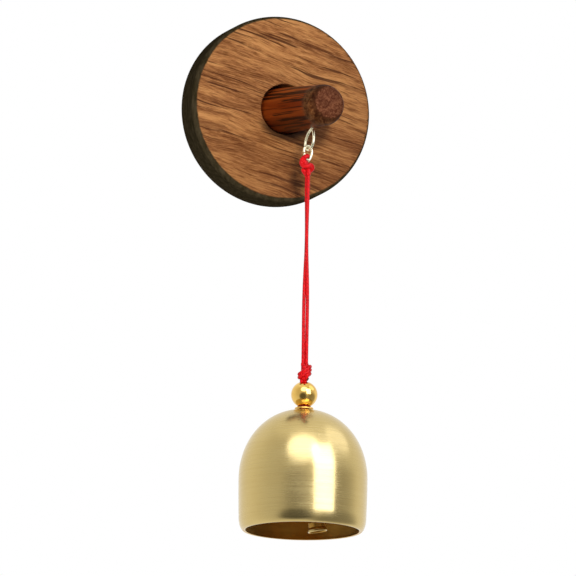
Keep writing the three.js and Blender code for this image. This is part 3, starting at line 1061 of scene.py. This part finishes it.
@dataclass
class Peg:
    """Turned peg that droops about the middle of its hole, and the screw in it. Millimetres."""

    across: float = 1.4
    middle: float = -8.025
    droop: float = 6.9
    face_along: float = 4.004
    reach: float = 38.5
    radius: float = 7.35
    end_radius: float = 6.5
    end_round: float = 0.9
    dome: float = 3.0
    dome_power: float = 2.15
    inner_end: float = 2.812
    inner_chamfer: float = 0.4
    dome_steps: int = 14
    taper_steps: int = 12
    sides: int = 96

    def build(self, wood: bpy.types.Material, steel: bpy.types.Material) -> None:
        """Builds the peg and dresses its screw.

        Args:
            wood: The peg's finish.
            steel: The screw's finish.
        """
        edge, soft = -(self.face_along + self.reach), self.end_round
        dome = arc((0, edge), (0, -self.dome), (self.end_radius - soft / 3, 0), self.dome_steps,
                   self.dome_power)
        profile = [*dome, (self.end_radius, edge + soft)]
        for i in range(1, self.taper_steps + 1):
            share = i / self.taper_steps
            profile.append((self.end_radius + (self.radius - self.end_radius) * share,
                            edge + soft + (self.reach - soft) * share))
        profile += [(self.radius, self.inner_end - self.inner_chamfer),
                    (self.radius - self.inner_chamfer, self.inner_end), (0, self.inner_end)]
        peg = turned("peg_round", profile, self.sides)
        smooth(peg, SOFT_CORNER)
        middle = Matrix.Translation((self.across * MM, self.middle * MM, 0))
        place(peg, middle @ Matrix.Rotation(math.radians(self.droop), 4, "X") @ TO_WALL)
        fitted(peg, wood, Slot.PEG_WOOD, Body.WALL_MOUNT, "peg")
        repaint("peg_screw", steel)


@dataclass
class Hardware:
    """Screw eye and split ring of brass wire. Millimetres and degrees.

    An egg is half its width, half its height, and how much wider it gets towards its top.
    """

    eye: Point = (1.4, -37.993, -10.430)
    droop: float = 6.9
    lean: float = 8.0
    turn: float = 20.0
    wire: float = 0.4
    neck: float = 0.5
    stem: tuple[Point, ...] = ((0, 0, 5.0), (0, 0, 1), (0, 0.06, 0), (0, 0.3, -0.4))
    eye_egg: Point = (1.9, 3.3, -0.25)
    eye_ends: Pair = (60.0, -243.0)
    eye_steps: int = 22
    ring: Point = (0.412, -37.148, -17.410)
    ring_egg: Point = (1.55, 2.3, 0.25)
    ring_rise: float = 1.15
    ring_steps: int = 26
    split: float = 0.3

    def loop(self, egg: Point, start: float, end: float, steps: int) -> Profile:
        """Points of an egg-shaped loop about its middle.

        Args:
            egg: The loop's shape.
            start: First angle in degrees.
            end: Last angle in degrees.
            steps: Steps between them.

        Returns:
            How far across and up each point is.
        """
        points = []
        for i in range(steps + 1):
            angle = math.radians(start + (end - start) * i / steps)
            across = egg[0] * math.cos(angle) * (1 + egg[2] * math.sin(angle))
            points.append((across, egg[1] * math.sin(angle)))
        return points

    def build(self, brass: bpy.types.Material) -> None:
        """Builds the screw eye, with its cut end at the front, and the ring.

        Args:
            brass: The wire's finish.
        """
        middle = -(self.neck + self.eye_egg[1])
        round_eye = [(0, a, middle + b) for a, b in self.loop(self.eye_egg, *self.eye_ends, self.eye_steps)]
        eye = drawn_wire("eye_wire", [*self.stem, *round_eye], self.wire)
        droop, lean, turn = [Matrix.Rotation(math.radians(degrees), 4, axis)
                             for degrees, axis in ((self.droop, "X"), (self.lean, "Y"), (self.turn, "Z"))]
        place(eye, Matrix.Translation(Vector(self.eye) * MM) @ (droop @ lean @ turn))
        fitted(eye, brass, Slot.WIRE_BRASS, Body.WALL_MOUNT, "screw_eye")
        half = math.degrees(self.split / 2 / self.ring_egg[1])
        drop = self.ring_rise - self.ring_egg[1]
        round_ring = self.loop(self.ring_egg, 180 - half, half - 180, self.ring_steps)
        ring = drawn_wire("ring_wire", [(a, 0, drop + b) for a, b in round_ring], self.wire)
        place(ring, Matrix.Translation(Vector(self.ring) * MM) @ turn)
        fitted(ring, brass, Slot.WIRE_BRASS, Body.RING, "hang_ring")


@dataclass(frozen=True)
class Overhand:
    """Way of one of two strands through an overhand knot. Millimetres and degrees, up from its middle.

    Each point of the way in and the way out is how far it is to the strand's own side, how far to one side for
    both, how far towards the wall and how far up.
    """

    cord: float = 1.1
    core: float = 1.15
    core_rises: tuple[float, ...] = (2.4, 0.8, -0.8, -2.4)
    sides: int = 18
    steps: int = 4
    start: float = 80.0
    turns: float = 1.45
    turn_steps: int = 22
    out: float = 1.72
    tighter: float = 0.12
    flatter: float = 0.95
    rise: float = 0.95
    fall: float = 1.75
    apart: float = 0.52
    lean: float = 1.0
    way_in: tuple[tuple[float, ...], ...] = (
        (-0.63, 0, 0.0, 3.1), (-0.62, 0, 0.05, 2.5), (0, -0.2, 0.75, 1.9),
    )
    way_out: tuple[tuple[float, ...], ...] = (
        (-0.3, -0.3, 0.5, -1.9), (-0.55, -0.35, 0.05, -2.5), (-0.58, -0.3, 0.0, -3.1),
    )

    def line(self, side: int) -> list[Point]:
        """Points that one strand passes through.

        Args:
            side: 1 for the left strand, -1 for the right one.

        Returns:
            The points, from the top down.
        """
        points = []
        for i in range(self.turn_steps + 1):
            share = i / self.turn_steps
            angle = math.radians(self.start) - share * self.turns * 2 * math.pi
            out = self.out - self.tighter * share
            rise = self.rise - self.fall * share + self.apart * side + self.lean * math.cos(angle)
            points.append((out * math.cos(angle), self.flatter * out * math.sin(angle), rise))
        first, last = [[(own * side + both, back, up) for own, both, back, up in way]
                       for way in (self.way_in, self.way_out)]
        return [*first, *points, *last]


@dataclass
class RedCord:
    """Doubled cord with its hitch, its two knots and its core. Millimetres, down from the strands' top."""

    top: Point = (0.412, -37.148, -25.560)
    radius: float = 0.55
    closeness: float = 0.9
    strand_steps: int = 6
    hitch_radius: float = 0.74
    knot: Overhand = Overhand()
    knot_drop: float = 63.7
    inner_knot_drop: float = 81.681
    stub_radius: float = 0.5
    stub_line: tuple[Point, ...] = ((0.1, -0.8, -1.3), (0.3, -1.3, -1.75), (0.45, -1.75, -2.1))
    stub_melt: Pair = (0.12, 0.1)
    core_apart: float = 0.6
    core_heights: tuple[float, ...] = (-66.7, -71, -75, -78.68)
    core_steps: int = 5
    small_sides: int = 16
    wrap_radius: float = 1.95
    wrap_thickness: float = 0.36
    wrap_height: float = -74.43
    wrap_steps: int = 24
    wrap_sides: int = 12
    route: tuple[Point, ...] = (
        (-0.12, 0.61, 0), (-0.08, 0.62, 5), (0.02, 0.63, 10), (0.12, 0.62, 15), (0.16, 0.61, 20),
        (0.08, 0.62, 25), (-0.14, 0.61, 30), (-0.38, 0.5, 35), (-0.54, 0.34, 40), (-0.61, 0.17, 46),
        (-0.63, 0.05, 52), (-0.63, 0, 57), (-0.63, 0, 60.7),
    )
    fold: tuple[Point, ...] = (
        (-0.75, 0.75, 5.1), (-1.2, -0.2, 5.0), (-1.35, -0.75, 4.2), (-1.1, -0.8, 3.3), (-0.5, -0.3, 2.8),
    )
    hitch: tuple[Point, ...] = (
        (0.12, -0.61, -0.1), (0.12, -0.6, 1.0), (0.08, -0.2, 2.2), (-0.1, 0.45, 3.4), (-0.34, 0.95, 4.6),
        (-0.35, 0.75, 5.6), (-0.28, -0.07, 6.05), (-0.5, -1.12, 5.85), (-1.15, -1.25, 5.6),
        (-1.75, -0.9, 5.15), (-2.1, -0.35, 4.3), (-2.0, -0.25, 3.3), (-1.55, -0.9, 2.6), (-0.7, -1.35, 2.7),
        (0.3, -1.4, 2.95), (1.1, -1.0, 2.75), (1.45, -0.2, 2.1), (1.1, 0.6, 1.6), (0.3, 1.1, 1.5),
        (-0.6, 1.0, 1.6), (-1.25, 0.5, 1.6), (-0.9, 0.35, 0.95), (-0.3, 0.58, 0.4), (-0.12, 0.61, -0.1),
    )

    def way(self, points: Sequence[Point], steps: int, drop: float = 0.0) -> list[Vector]:
        """A smooth line in the row frame.

        Args:
            points: Points across, towards the wall and up from the strands' top.
            steps: Points of the line for each gap between two of them.
            drop: How far under the strands' top they are measured from.

        Returns:
            The line's points in metres.
        """
        return through([(Vector(self.top) + Vector((x, y, z - drop))) * MM for x, y, z in points], steps)

    def strand(self, name: str, side: int, cord: bpy.types.Material, node: str) -> None:
        """Lays one of the two strands.

        Args:
            name: The piece's name.
            side: 1 for the left strand, -1 for the right one.
            cord: The finish.
            node: The CAD node that it replaces.
        """
        out = self.closeness * side
        line = self.way([(out * x, out * y, -down) for x, y, down in self.route], self.strand_steps)
        piece = laid_cord(name, line, self.radius * MM)
        fitted(piece, cord, Slot.RED_CORD, Body.CORD, node)

    def overhand(self, name: str, drop: float) -> bpy.types.Object:
        """Ties an overhand knot in the doubled cord.

        Args:
            name: The piece's name.
            drop: The knot's middle under the strands' top.

        Returns:
            The knot.
        """
        knot = self.knot
        parts = [laid_cord(f"{name}_{side}", self.way(knot.line(side), knot.steps, drop),
                           knot.cord * self.radius * MM, knot.sides) for side in (1, -1)]
        core = self.way([(0, 0, rise) for rise in knot.core_rises], knot.steps, drop)
        parts.append(laid_cord(f"{name}_core", core, knot.core * MM, knot.sides))
        return joined(name, parts)

    def stub(self, cord: bpy.types.Material, sealed: bpy.types.Material) -> bpy.types.Object:
        """The cut end that stands out beside the knot.

        Args:
            cord: The cord's finish.
            sealed: The finish of its cut end.

        Returns:
            The short stub with a melted end.
        """
        line = self.way(self.stub_line, self.knot.steps, self.knot_drop)
        piece = laid_cord("cord_stub", line, self.stub_radius * MM, self.small_sides)
        piece.data.materials.append(cord)
        piece.data.materials.append(sealed)
        choose(piece)
        bpy.ops.object.mode_set(mode="EDIT")
        bpy.ops.mesh.select_mode(type="FACE")
        bpy.ops.mesh.select_all(action="DESELECT")
        bpy.ops.object.mode_set(mode="OBJECT")
        piece.data.polygons[-1].select = True
        bpy.ops.object.mode_set(mode="EDIT")
        bpy.ops.mesh.inset(thickness=self.stub_melt[0] * MM, depth=self.stub_melt[1] * MM)
        bpy.ops.object.mode_set(mode="OBJECT")
        for face in piece.data.polygons:
            if face.select or len(face.vertices) > 4:
                face.material_index = 1
        piece.data.polygons[0].material_index = 0
        return piece

    def wrap(self) -> bpy.types.Object:
        """The turn of cord round the core, under the bead."""
        middle = Vector(self.top) + Vector((0, 0, self.wrap_height))
        turns = [i / self.wrap_steps * 2 * math.pi for i in range(self.wrap_steps + 1)]
        line = [(middle + self.wrap_radius * Vector((math.cos(a), math.sin(a), 0))) * MM for a in turns]
        return laid_cord("core_wrap", line, self.wrap_thickness / 2 * MM, self.wrap_sides)

    def core(self) -> bpy.types.Object:
        """The two strands side by side between the knots."""
        cores = []
        for side in (1, -1):
            points = [(self.core_apart * side, 0, height) for height in self.core_heights]
            line = self.way(points, self.core_steps)
            cores.append(laid_cord(f"core_{side}", line, self.radius * MM, self.small_sides))
        return joined("core_strands", cores)

    def build(self, cord: bpy.types.Material, sealed: bpy.types.Material, shaded_wrap: bpy.types.Material) -> None:
        """Builds every piece of the cord down to the inner knot.

        Args:
            cord: The cord's finish.
            sealed: The finish of its cut end.
            shaded_wrap: The finish of the wrap under the bead, a darker red that paints the shade there.
        """
        self.strand("strand_left", 1, cord, "cord_strand_left")
        self.strand("strand_right", -1, cord, "cord_strand_right")
        turns = [laid_cord("hitch_turn", self.way(points, self.strand_steps), self.hitch_radius * MM)
                 for points in (self.hitch, self.fold)]
        fitted(joined("hitch_loop", turns), cord, Slot.RED_CORD, Body.CORD, "cord_hitch")
        knot = self.overhand("upper_knot", self.knot_drop)
        fitted(knot, cord, Slot.RED_CORD, Body.KNOT, "cord_knot")
        fitted(self.stub(cord, sealed), cord, Slot.RED_CORD, Body.KNOT)
        inner = self.overhand("under_knot", self.inner_knot_drop)
        fitted(inner, cord, Slot.RED_CORD, Body.KNOT, "inner_knot")
        fitted(self.core(), cord, Slot.RED_CORD, Body.KNOT, "cord_core")
        # painted shade: the wrap under the bead gets a darker red, as shade
        fitted(self.wrap(), shaded_wrap, Slot.RED_CORD, Body.KNOT)


@dataclass
class BellStack:
    """Bead, washers and bell on the cord. Millimetres."""

    across: float = 0.412
    axis: float = -37.148
    bore: float = 1.475
    small_sides: int = 72
    bead_centre: float = -96.192
    bead_radius: float = 4.2
    bead_land: float = 0.35
    bead_edge: Pair = (0.12, 0.02)
    bead_edge_depth: float = 0.15
    bead_steps: int = 36
    crown_top: float = -100.275
    crown_radius: float = 3.0
    crown_thickness: float = 0.6
    crown_round: float = 0.25
    crown_edge: float = 0.15
    crown_dome: float = 0.12
    crown_land: float = 0.3
    crown_break: float = 0.1
    crown_steps: tuple[int, int] = (4, 5)
    apex: float = -101.025
    radius: float = 20.4
    height: float = 38.8
    wall: float = 1.6
    shoulder: float = 16.0
    power: float = 2.1
    waist_inset: float = 0.2
    lip_height: float = 4.5
    lip_inset: float = 1.6
    lip_thickness: float = 0.6
    lip_round: Pair = (0.12, 0.10)
    lip_steps: int = 12
    waist_steps: int = 8
    dome_steps: tuple[int, int] = (40, 28)
    hole_gap: float = 0.05
    sides: int = 160

    def spot(self, height: float) -> Matrix:
        """Place of a piece on the bell's axis, at a height in millimetres."""
        return Matrix.Translation((self.across * MM, self.axis * MM, height * MM))

    def bead(self) -> bpy.types.Object:
        """Turns the bead, with the edges of its bore rounded."""
        half = math.sqrt(self.bead_radius ** 2 - (self.bore + self.bead_land) ** 2)
        widest = math.asin(half / self.bead_radius)
        profile = []
        for i in range(self.bead_steps + 1):
            angle = -widest + 2 * widest * i / self.bead_steps
            profile.append((self.bead_radius * math.cos(angle), self.bead_radius * math.sin(angle)))
        edge, top = self.bore + self.bead_edge[0], half + self.bead_edge[1]
        inner = half - self.bead_edge_depth
        profile += [(edge, top), (self.bore, inner), (self.bore, -inner), (edge, -top), profile[0]]
        return turned("round_bead", profile, self.small_sides)

    def crown_washer(self) -> bpy.types.Object:
        """Turns the domed crown washer."""
        radius, bottom, bore = self.crown_radius, -self.crown_thickness, self.bore
        rim = arc((radius - self.crown_round, bottom + self.crown_round),
                  (self.crown_round, -self.crown_break), (0, self.crown_round), self.crown_steps[0])
        dome = arc((bore + self.crown_land, -self.crown_dome), (radius - bore - 2 * self.crown_land, 0),
                   (0, self.crown_dome), self.crown_steps[1])
        profile = [(bore, bottom), (radius - self.crown_edge, bottom), *rim, *dome,
                   (bore + self.crown_break, 0), (bore, -self.crown_break), (bore, bottom)]
        return turned("gold_washer", profile, self.small_sides)

    def side(self, inset: float, lip: float, steps: int) -> Profile:
        """One side of the bell's wall, from the mouth up to the hole in the crown.

        Args:
            inset: How far inside the outer surface.
            lip: Radius at the mouth.
            steps: Steps over the dome.

        Returns:
            Points of the profile, measured up from the mouth.
        """
        waist = self.radius - self.waist_inset - inset
        full = self.radius - inset
        rise = self.height - self.shoulder - inset
        points = arc((lip, self.lip_height), (0, -self.lip_height), (waist - lip, 0), self.lip_steps)
        for i in range(1, self.waist_steps):
            share = i / self.waist_steps
            points.append((waist + (full - waist) * math.sin(share * math.pi / 2),
                           self.lip_height + (self.shoulder - self.lip_height) * share))
        dome = arc((0, self.shoulder), (full, 0), (0, rise), steps, self.power)
        points += [p for p in dome if p[0] > self.bore + self.hole_gap]
        share = (self.bore / full) ** self.power
        points.append((self.bore, self.shoulder + rise * (1 - share) ** (1 / self.power)))
        return points

    def shell(self) -> bpy.types.Object:
        """Turns the bell's shell, with a rounded lip."""
        lip = self.radius - self.waist_inset - self.lip_inset
        inner = lip - self.lip_thickness
        outside = self.side(0, lip, self.dome_steps[0])
        inside = self.side(self.wall, inner, self.dome_steps[1])
        across, up = self.lip_round
        edge = [(inner + across, 0.0), (lip - self.lip_thickness / 2, 0.0), (lip - across, 0.0)]
        outside[0] = (lip, up)
        inside[0] = (inner, up)
        profile = [*outside, *reversed(inside), *edge, outside[0]]
        return turned("brass_shell", [(r, h - self.height) for r, h in profile], self.sides)

    def build(self, brass: bpy.types.Material, inside: bpy.types.Material, gold: bpy.types.Material,
              wire: bpy.types.Material) -> None:
        """Builds the bead, the crown washer and the bell, and dresses the inner washer.

        Args:
            brass: The bell's finish.
            inside: The finish of its inside.
            gold: The finish of the bead and the crown washer.
            wire: The inner washer's finish.
        """
        bead = self.bead()
        place(bead, self.spot(self.bead_centre))
        fitted(bead, gold, Slot.GOLD, Body.BEAD, "bead")
        washer = self.crown_washer()
        place(washer, self.spot(self.crown_top))
        fitted(washer, gold, Slot.GOLD, Body.BELL, "crown_washer")
        shell = self.shell()
        lined(shell, brass, inside)
        place(shell, self.spot(self.apex))
        fitted(shell, brass, Slot.BELL_BRASS, Body.BELL, "bell_shell")
        repaint("inner_washer", wire)


@dataclass
class Clapper:
    """Flared brass bob on its cord, leaning to one side. Millimetres."""

    pivot: Point = (0.412, -37.148, -107.241)
    lean: float = 9.0
    reach: float = 32.990
    height: float = 9.6
    rim_radius: float = 3.1
    rim_height: float = 0.9
    rim_wall: float = 0.4
    rim_break: float = 0.15
    rim_round: float = 0.2
    flare: float = 2.2
    flare_steps: int = 14
    waist: float = 0.66
    neck_radius: float = 1.75
    neck_bead: tuple[Pair, ...] = ((0.05, -1.6), (0.1, -0.9), (-0.05, -0.3), (-0.3, 0))
    recess: float = 3.2
    recess_chamfer: float = 0.3
    bore: float = 0.85
    sides: int = 64
    cord_radius: float = 0.55
    cord_heights: Point = (-2.6, -10, -20)
    cord_steps: int = 8
    cord_sides: int = 16
    knot_radius: float = 1.3
    knot_turns: int = 2
    knot_points: int = 16
    knot_rise: float = 0.55
    knot_fall: float = 1.1
    knot_lean: float = 0.3
    knot_end: Point = (0.1, 0, -0.8)
    knot_steps: int = 4
    knot_sides: int = 14

    def way(self, points: Sequence[Point], steps: int) -> list[Vector]:
        """A smooth line from points down the clapper, turned about the inner knot.

        Args:
            points: Points of it in millimetres.
            steps: Points of the line for each gap between two of them.

        Returns:
            The line's points in the row frame, in metres.
        """
        matrix = self.matrix()
        return through([matrix @ (Vector(point) * MM) for point in points], steps)

    def matrix(self) -> Matrix:
        """Place of the clapper, turned about the inner knot."""
        return Matrix.Translation(Vector(self.pivot) * MM) @ Matrix.Rotation(math.radians(-self.lean), 4, "Y")

    def bob(self) -> bpy.types.Object:
        """Turns the bob, with its recess underneath."""
        inner, outer, edge = self.rim_radius - self.rim_wall, self.rim_radius - self.rim_break, self.rim_break
        waist = self.height * self.waist
        profile = [(inner, edge), (inner + edge, 0), (self.rim_radius - self.rim_round, 0),
                   (self.rim_radius, self.rim_round), (self.rim_radius, self.rim_height - edge),
                   (outer, self.rim_height)]
        for i in range(1, self.flare_steps + 1):
            share = i / self.flare_steps
            ease = 1 - (1 - share) ** self.flare
            profile.append((outer + (self.neck_radius - outer) * ease,
                            self.rim_height + (waist - self.rim_height) * share))
        profile += [(self.neck_radius + out, self.height + up) for out, up in self.neck_bead]
        chamfer = self.recess_chamfer
        profile += [(self.bore, self.height), (self.bore, self.recess), (inner - chamfer, self.recess),
                    (inner, self.recess - chamfer), profile[0]]
        return turned("clapper_bell", [(r, h - self.reach) for r, h in profile], self.sides)

    def knot(self, middle: float) -> bpy.types.Object:
        """Ties the knot under the bob.

        Args:
            middle: Height of its middle.

        Returns:
            The knot.
        """
        out = self.knot_radius - self.cord_radius
        held = [(0, 0, self.knot_radius)]
        for i in range(self.knot_points + 1):
            share = i / self.knot_points
            angle = share * self.knot_turns * 2 * math.pi
            held.append((out * math.cos(angle), out * math.sin(angle),
                         self.knot_rise - self.knot_fall * share + self.knot_lean * math.cos(angle)))
        line = self.way([(x, y, z + middle) for x, y, z in (*held, self.knot_end)], self.knot_steps)
        return laid_cord("tail_knot", line, self.cord_radius * MM, self.knot_sides)

    def build(self, brass: bpy.types.Material, inside: bpy.types.Material, cord: bpy.types.Material) -> None:
        """Builds the bob, its cord and the knot under it.

        Args:
            brass: The bob's finish.
            inside: The finish of its recess.
            cord: The cord's finish.
        """
        bob = self.bob()
        lined(bob, brass, inside)
        place(bob, self.matrix())
        fitted(bob, brass, Slot.BELL_BRASS, Body.CLAPPER, "clapper_bob")
        bottom = -self.reach + self.recess - self.recess_chamfer
        line = self.way([(0, 0, z) for z in (*self.cord_heights, bottom)], self.cord_steps)
        tail = laid_cord("tail_cord", line, self.cord_radius * MM, self.cord_sides)
        fitted(tail, cord, Slot.RED_CORD, Body.CLAPPER, "clapper_cord")
        fitted(self.knot(bottom - self.knot_radius), cord, Slot.RED_CORD, Body.CLAPPER, "clapper_knot")


# Studio


class LampShape(Enum):
    """Outlines that a lamp can have."""

    PANEL = "RECTANGLE"
    ROUND = "ELLIPSE"


@dataclass(frozen=True)
class Lamp:
    """A soft lamp that faces the bell, and lights matt surfaces or else shows in shiny ones.

    Its direction is in degrees, to the right of the camera and above the horizon. It stands far metres away
    and is size metres wide and high. Its radiance is how bright it looks, where 1 is white.
    """

    name: str
    across: float
    height: float
    far: float
    size: Pair
    radiance: float
    matt: bool
    shape: LampShape = LampShape.ROUND


@dataclass(frozen=True)
class Shade:
    """Grey of the surroundings, which changes with the angle from a direction. Degrees.

    The direction is to the right of the camera and above the horizon. The grey changes from low to high
    between the angles first and last.
    """

    across: float
    height: float
    first: float
    last: float
    low: float
    high: float


@dataclass
class Studio:
    """Camera, floor and soft light."""

    azimuth: float = -19.07
    elevation: float = -9.98
    roll: float = 0.86
    distance: float = 6.5
    pixels_per_metre: float = 3140.0
    picture: int = 576
    sensor: float = 36.0
    clip_start: float = 0.05
    aim_across: float = 0.00459
    aim_up: float = -0.05616
    aim_depth: float = -0.007
    lit_middle: Point = (0, -0.03, -0.07)
    ambient: float = 0.22
    cool: Point = (0.90, 0.96, 1.22)
    lamps: tuple[Lamp, ...] = (
        Lamp("tall_lamp", 39, 20, 1.2, (0.82, 0.96), 4.2, False, LampShape.PANEL),
        Lamp("top_lamp", -1, 40, 1.2, (1.20, 0.90), 1.9, False),
        Lamp("side_lamp", 92, 44, 1.2, (0.85, 0.75), 0.7, False),
        Lamp("soft_key", 7, 3, 1.6, (0.15, 0.15), 308, True),
        Lamp("soft_fill", -55, 15, 1.8, (1.4, 1.4), 0.5, True),
        Lamp("back_fill", 168, 28, 1.8, (1.4, 1.4), 2.4, True),
    )
    front_shade: Shade = Shade(5, 5, 125, 45, 1.0, 0.70)
    sky: Shade = Shade(0, 90, 55, 30, 0.0, 1.0)
    camera_shade: Shade = Shade(-12, -22, 40, 18, 1.0, 0.18)
    right_shade: Shade = Shade(75, -32, 56, 26, 1.0, 0.40)
    floor: float = -0.34
    floor_radius: float = 3.0
    floor_sides: int = 96
    floor_greys: Pair = (0.84, 0.87)
    floor_tones: Pair = (0.4, 0.6)
    floor_cloud: Grain = Grain((3, 3, 3), 2)
    floor_rough: float = 0.9
    floor_glow: float = 0.62

    def heading(self, across: float, height: float) -> Vector:
        """Direction from the bell.

        Args:
            across: Angle to the right of the camera, in degrees.
            height: Angle above the horizon, in degrees.

        Returns:
            The direction, 1 long.
        """
        a, e = math.radians(self.azimuth + across), math.radians(height)
        return Vector((math.sin(a) * math.cos(e), -math.cos(a) * math.cos(e), math.sin(e)))

    def camera(self) -> None:
        """Sets the camera at the photograph's angle."""
        a, roll = math.radians(self.azimuth), math.radians(self.roll)
        back = self.heading(0, self.elevation)
        right = Vector((math.cos(a), math.sin(a), 0))
        up = back.cross(right)
        aim = Vector((0, self.aim_depth, 0)) + right * self.aim_across + up * self.aim_up
        turned_right = right * math.cos(roll) + up * math.sin(roll)
        turned_up = up * math.cos(roll) - right * math.sin(roll)
        matrix = Matrix((turned_right, turned_up, back)).transposed().to_4x4()
        matrix.translation = aim + back * self.distance
        clear_selection()
        bpy.ops.object.camera_add()
        camera = bpy.context.object
        camera.matrix_world = matrix
        camera.data.sensor_width = self.sensor
        camera.data.lens = self.pixels_per_metre * self.distance / self.picture * self.sensor
        camera.data.clip_start = self.clip_start
        camera.data.dof.use_dof = False
        bpy.context.scene.camera = camera

    def hang(self, lamp: Lamp) -> None:
        """Adds one lamp.

        Args:
            lamp: Its place, size and strength.
        """
        way = self.heading(lamp.across, lamp.height)
        clear_selection()
        bpy.ops.object.light_add(type="AREA")
        light = bpy.context.object
        light.name = lamp.name
        light.data.shape = lamp.shape.value
        light.data.size, light.data.size_y = lamp.size
        light.data.energy = lamp.radiance * math.pi * lamp.size[0] * lamp.size[1]
        light.data.color = (1, 1, 1) if lamp.matt else self.cool
        spot = Matrix.Translation(Vector(self.lit_middle) + way * lamp.far)
        light.matrix_world = spot @ way.to_track_quat("Z", "Y").to_matrix().to_4x4()
        light.visible_camera = False
        light.visible_diffuse = lamp.matt
        light.visible_glossy = not lamp.matt
        light.visible_transmission = False

    def surroundings(self) -> None:
        """Makes the surroundings white to the camera, and pale and shaded to shiny surfaces."""
        world = bpy.data.worlds.new("surroundings")
        bpy.context.scene.world = world
        world.use_nodes = True
        world.node_tree.nodes.clear()
        n = Nodes(world.node_tree)
        way = n.add("TexCoord")

        def grey(shade: Shade) -> bpy.types.NodeSocket:
            """Grey that one shade gives in each direction."""
            dot = n.add("VectorMath", operation="DOT_PRODUCT")
            dot.inputs[1].default_value = self.heading(shade.across, shade.height)
            n.put(dot.inputs[0], way.outputs["Generated"])
            first, last = math.cos(math.radians(shade.first)), math.cos(math.radians(shade.last))
            return n.band(dot.outputs["Value"], Fade(first, last, shade.low, shade.high))

        front = n.math("MAXIMUM", grey(self.front_shade), grey(self.sky))
        shiny = n.times(front, n.times(grey(self.camera_shade), grey(self.right_shade)))
        path = n.add("LightPath")
        result = n.add("Background")
        n.put(result.inputs[0], (self.ambient, self.ambient, self.ambient, 1))
        white = (1, 1, 1, 1)
        for ray, colour in (("Glossy", shiny), ("Transmission", white), ("Camera", white)):
            backdrop = n.add("Background")
            n.put(backdrop.inputs[0], colour)
            mixer = n.add("MixShader")
            n.put(mixer.inputs[0], path.outputs[f"Is {ray} Ray"])
            n.put(mixer.inputs[1], result.outputs[0])
            n.put(mixer.inputs[2], backdrop.outputs[0])
            result = mixer
        n.put(n.add("OutputWorld").inputs[0], result.outputs[0])

    def ground(self) -> None:
        """Lays a plain pale floor under the bell, which shows pale to the camera and nothing from below."""
        clear_selection()
        bpy.ops.mesh.primitive_circle_add(vertices=self.floor_sides, radius=self.floor_radius,
                                          fill_type="NGON", location=(0, 0, self.floor))
        floor = bpy.context.object
        floor.name = "floor"
        bpy.ops.object.transform_apply(location=True, rotation=True, scale=True)
        r = Recipe("pale_floor")
        greys = [(grey, grey, grey) for grey in self.floor_greys]
        paint = r.finish(r.ramp(r.pattern(self.floor_cloud), self.floor_tones, greys), self.floor_rough)
        pale = r.add("Emission")
        r.put(pale.inputs["Strength"], r.times(r.add("LightPath").outputs["Is Camera Ray"], self.floor_glow))
        lit = r.add("AddShader")
        r.put(lit.inputs[0], r.surface.outputs[0])
        r.put(lit.inputs[1], pale.outputs[0])
        sides = r.add("MixShader")
        r.put(sides.inputs[0], r.add("NewGeometry").outputs["Backfacing"])
        r.put(sides.inputs[1], lit.outputs[0])
        r.put(sides.inputs[2], r.add("BsdfTransparent").outputs[0])
        r.put(r.tree.nodes["Material Output"].inputs["Surface"], sides.outputs[0])
        floor.data.materials.append(paint)
        floor.visible_glossy = False

    def build(self) -> None:
        """Adds the lamps, the surroundings and the floor."""
        for lamp in self.lamps:
            self.hang(lamp)
        self.surroundings()
        self.ground()


def main() -> None:
    """Builds the studio and then the object, from the cord out."""
    bpy.context.scene.view_settings.view_transform = "Standard"
    studio = Studio()
    studio.camera()
    cord = WaxedCord().material()
    # painted shade: a darker red for the wrap between the bead and the washer
    shaded_wrap = WaxedCord("shaded_red_cord", (0.17, 0.004, 0.003), (0.08, 0.002, 0.001)).material()
    RedCord().build(cord, SealedEnd().material(), shaded_wrap)
    wire = PolishedMetal("wire_brass", (1.0, 0.95, 0.70), (0.96, 0.86, 0.54), 0.28).material()
    gold = PolishedMetal("gold", (0.88, 0.58, 0.16), (0.78, 0.47, 0.10), 0.1).material()
    steel = PolishedMetal("steel", (0.52, 0.53, 0.55), (0.36, 0.37, 0.38), 0.36).material()
    brass = TurnedBrass("bell_brass").material()
    # painted shade: the inner faces of the bell and the bob's recess get a deeper orange copy of the brass,
    # standing in for the shade and coloured reflections inside
    inside = TurnedBrass("bell_inside", (0.68, 0.41, 0.09), (0.56, 0.31, 0.05), rough=0.40,
                         line_depth=0.03 * MM, pits=False, anisotropic=0.8).material()
    WallDisc().build(DiscWood().material(), PadFoam().material())
    Peg().build(PegWood().material(), steel)
    Hardware().build(wire)
    BellStack().build(brass, inside, gold, wire)
    Clapper().build(brass, inside, cord)
    studio.build()
    clear_selection()


if __name__ == "__main__":
    logging.basicConfig(level=logging.INFO, format="%(name)s %(message)s")
    main()
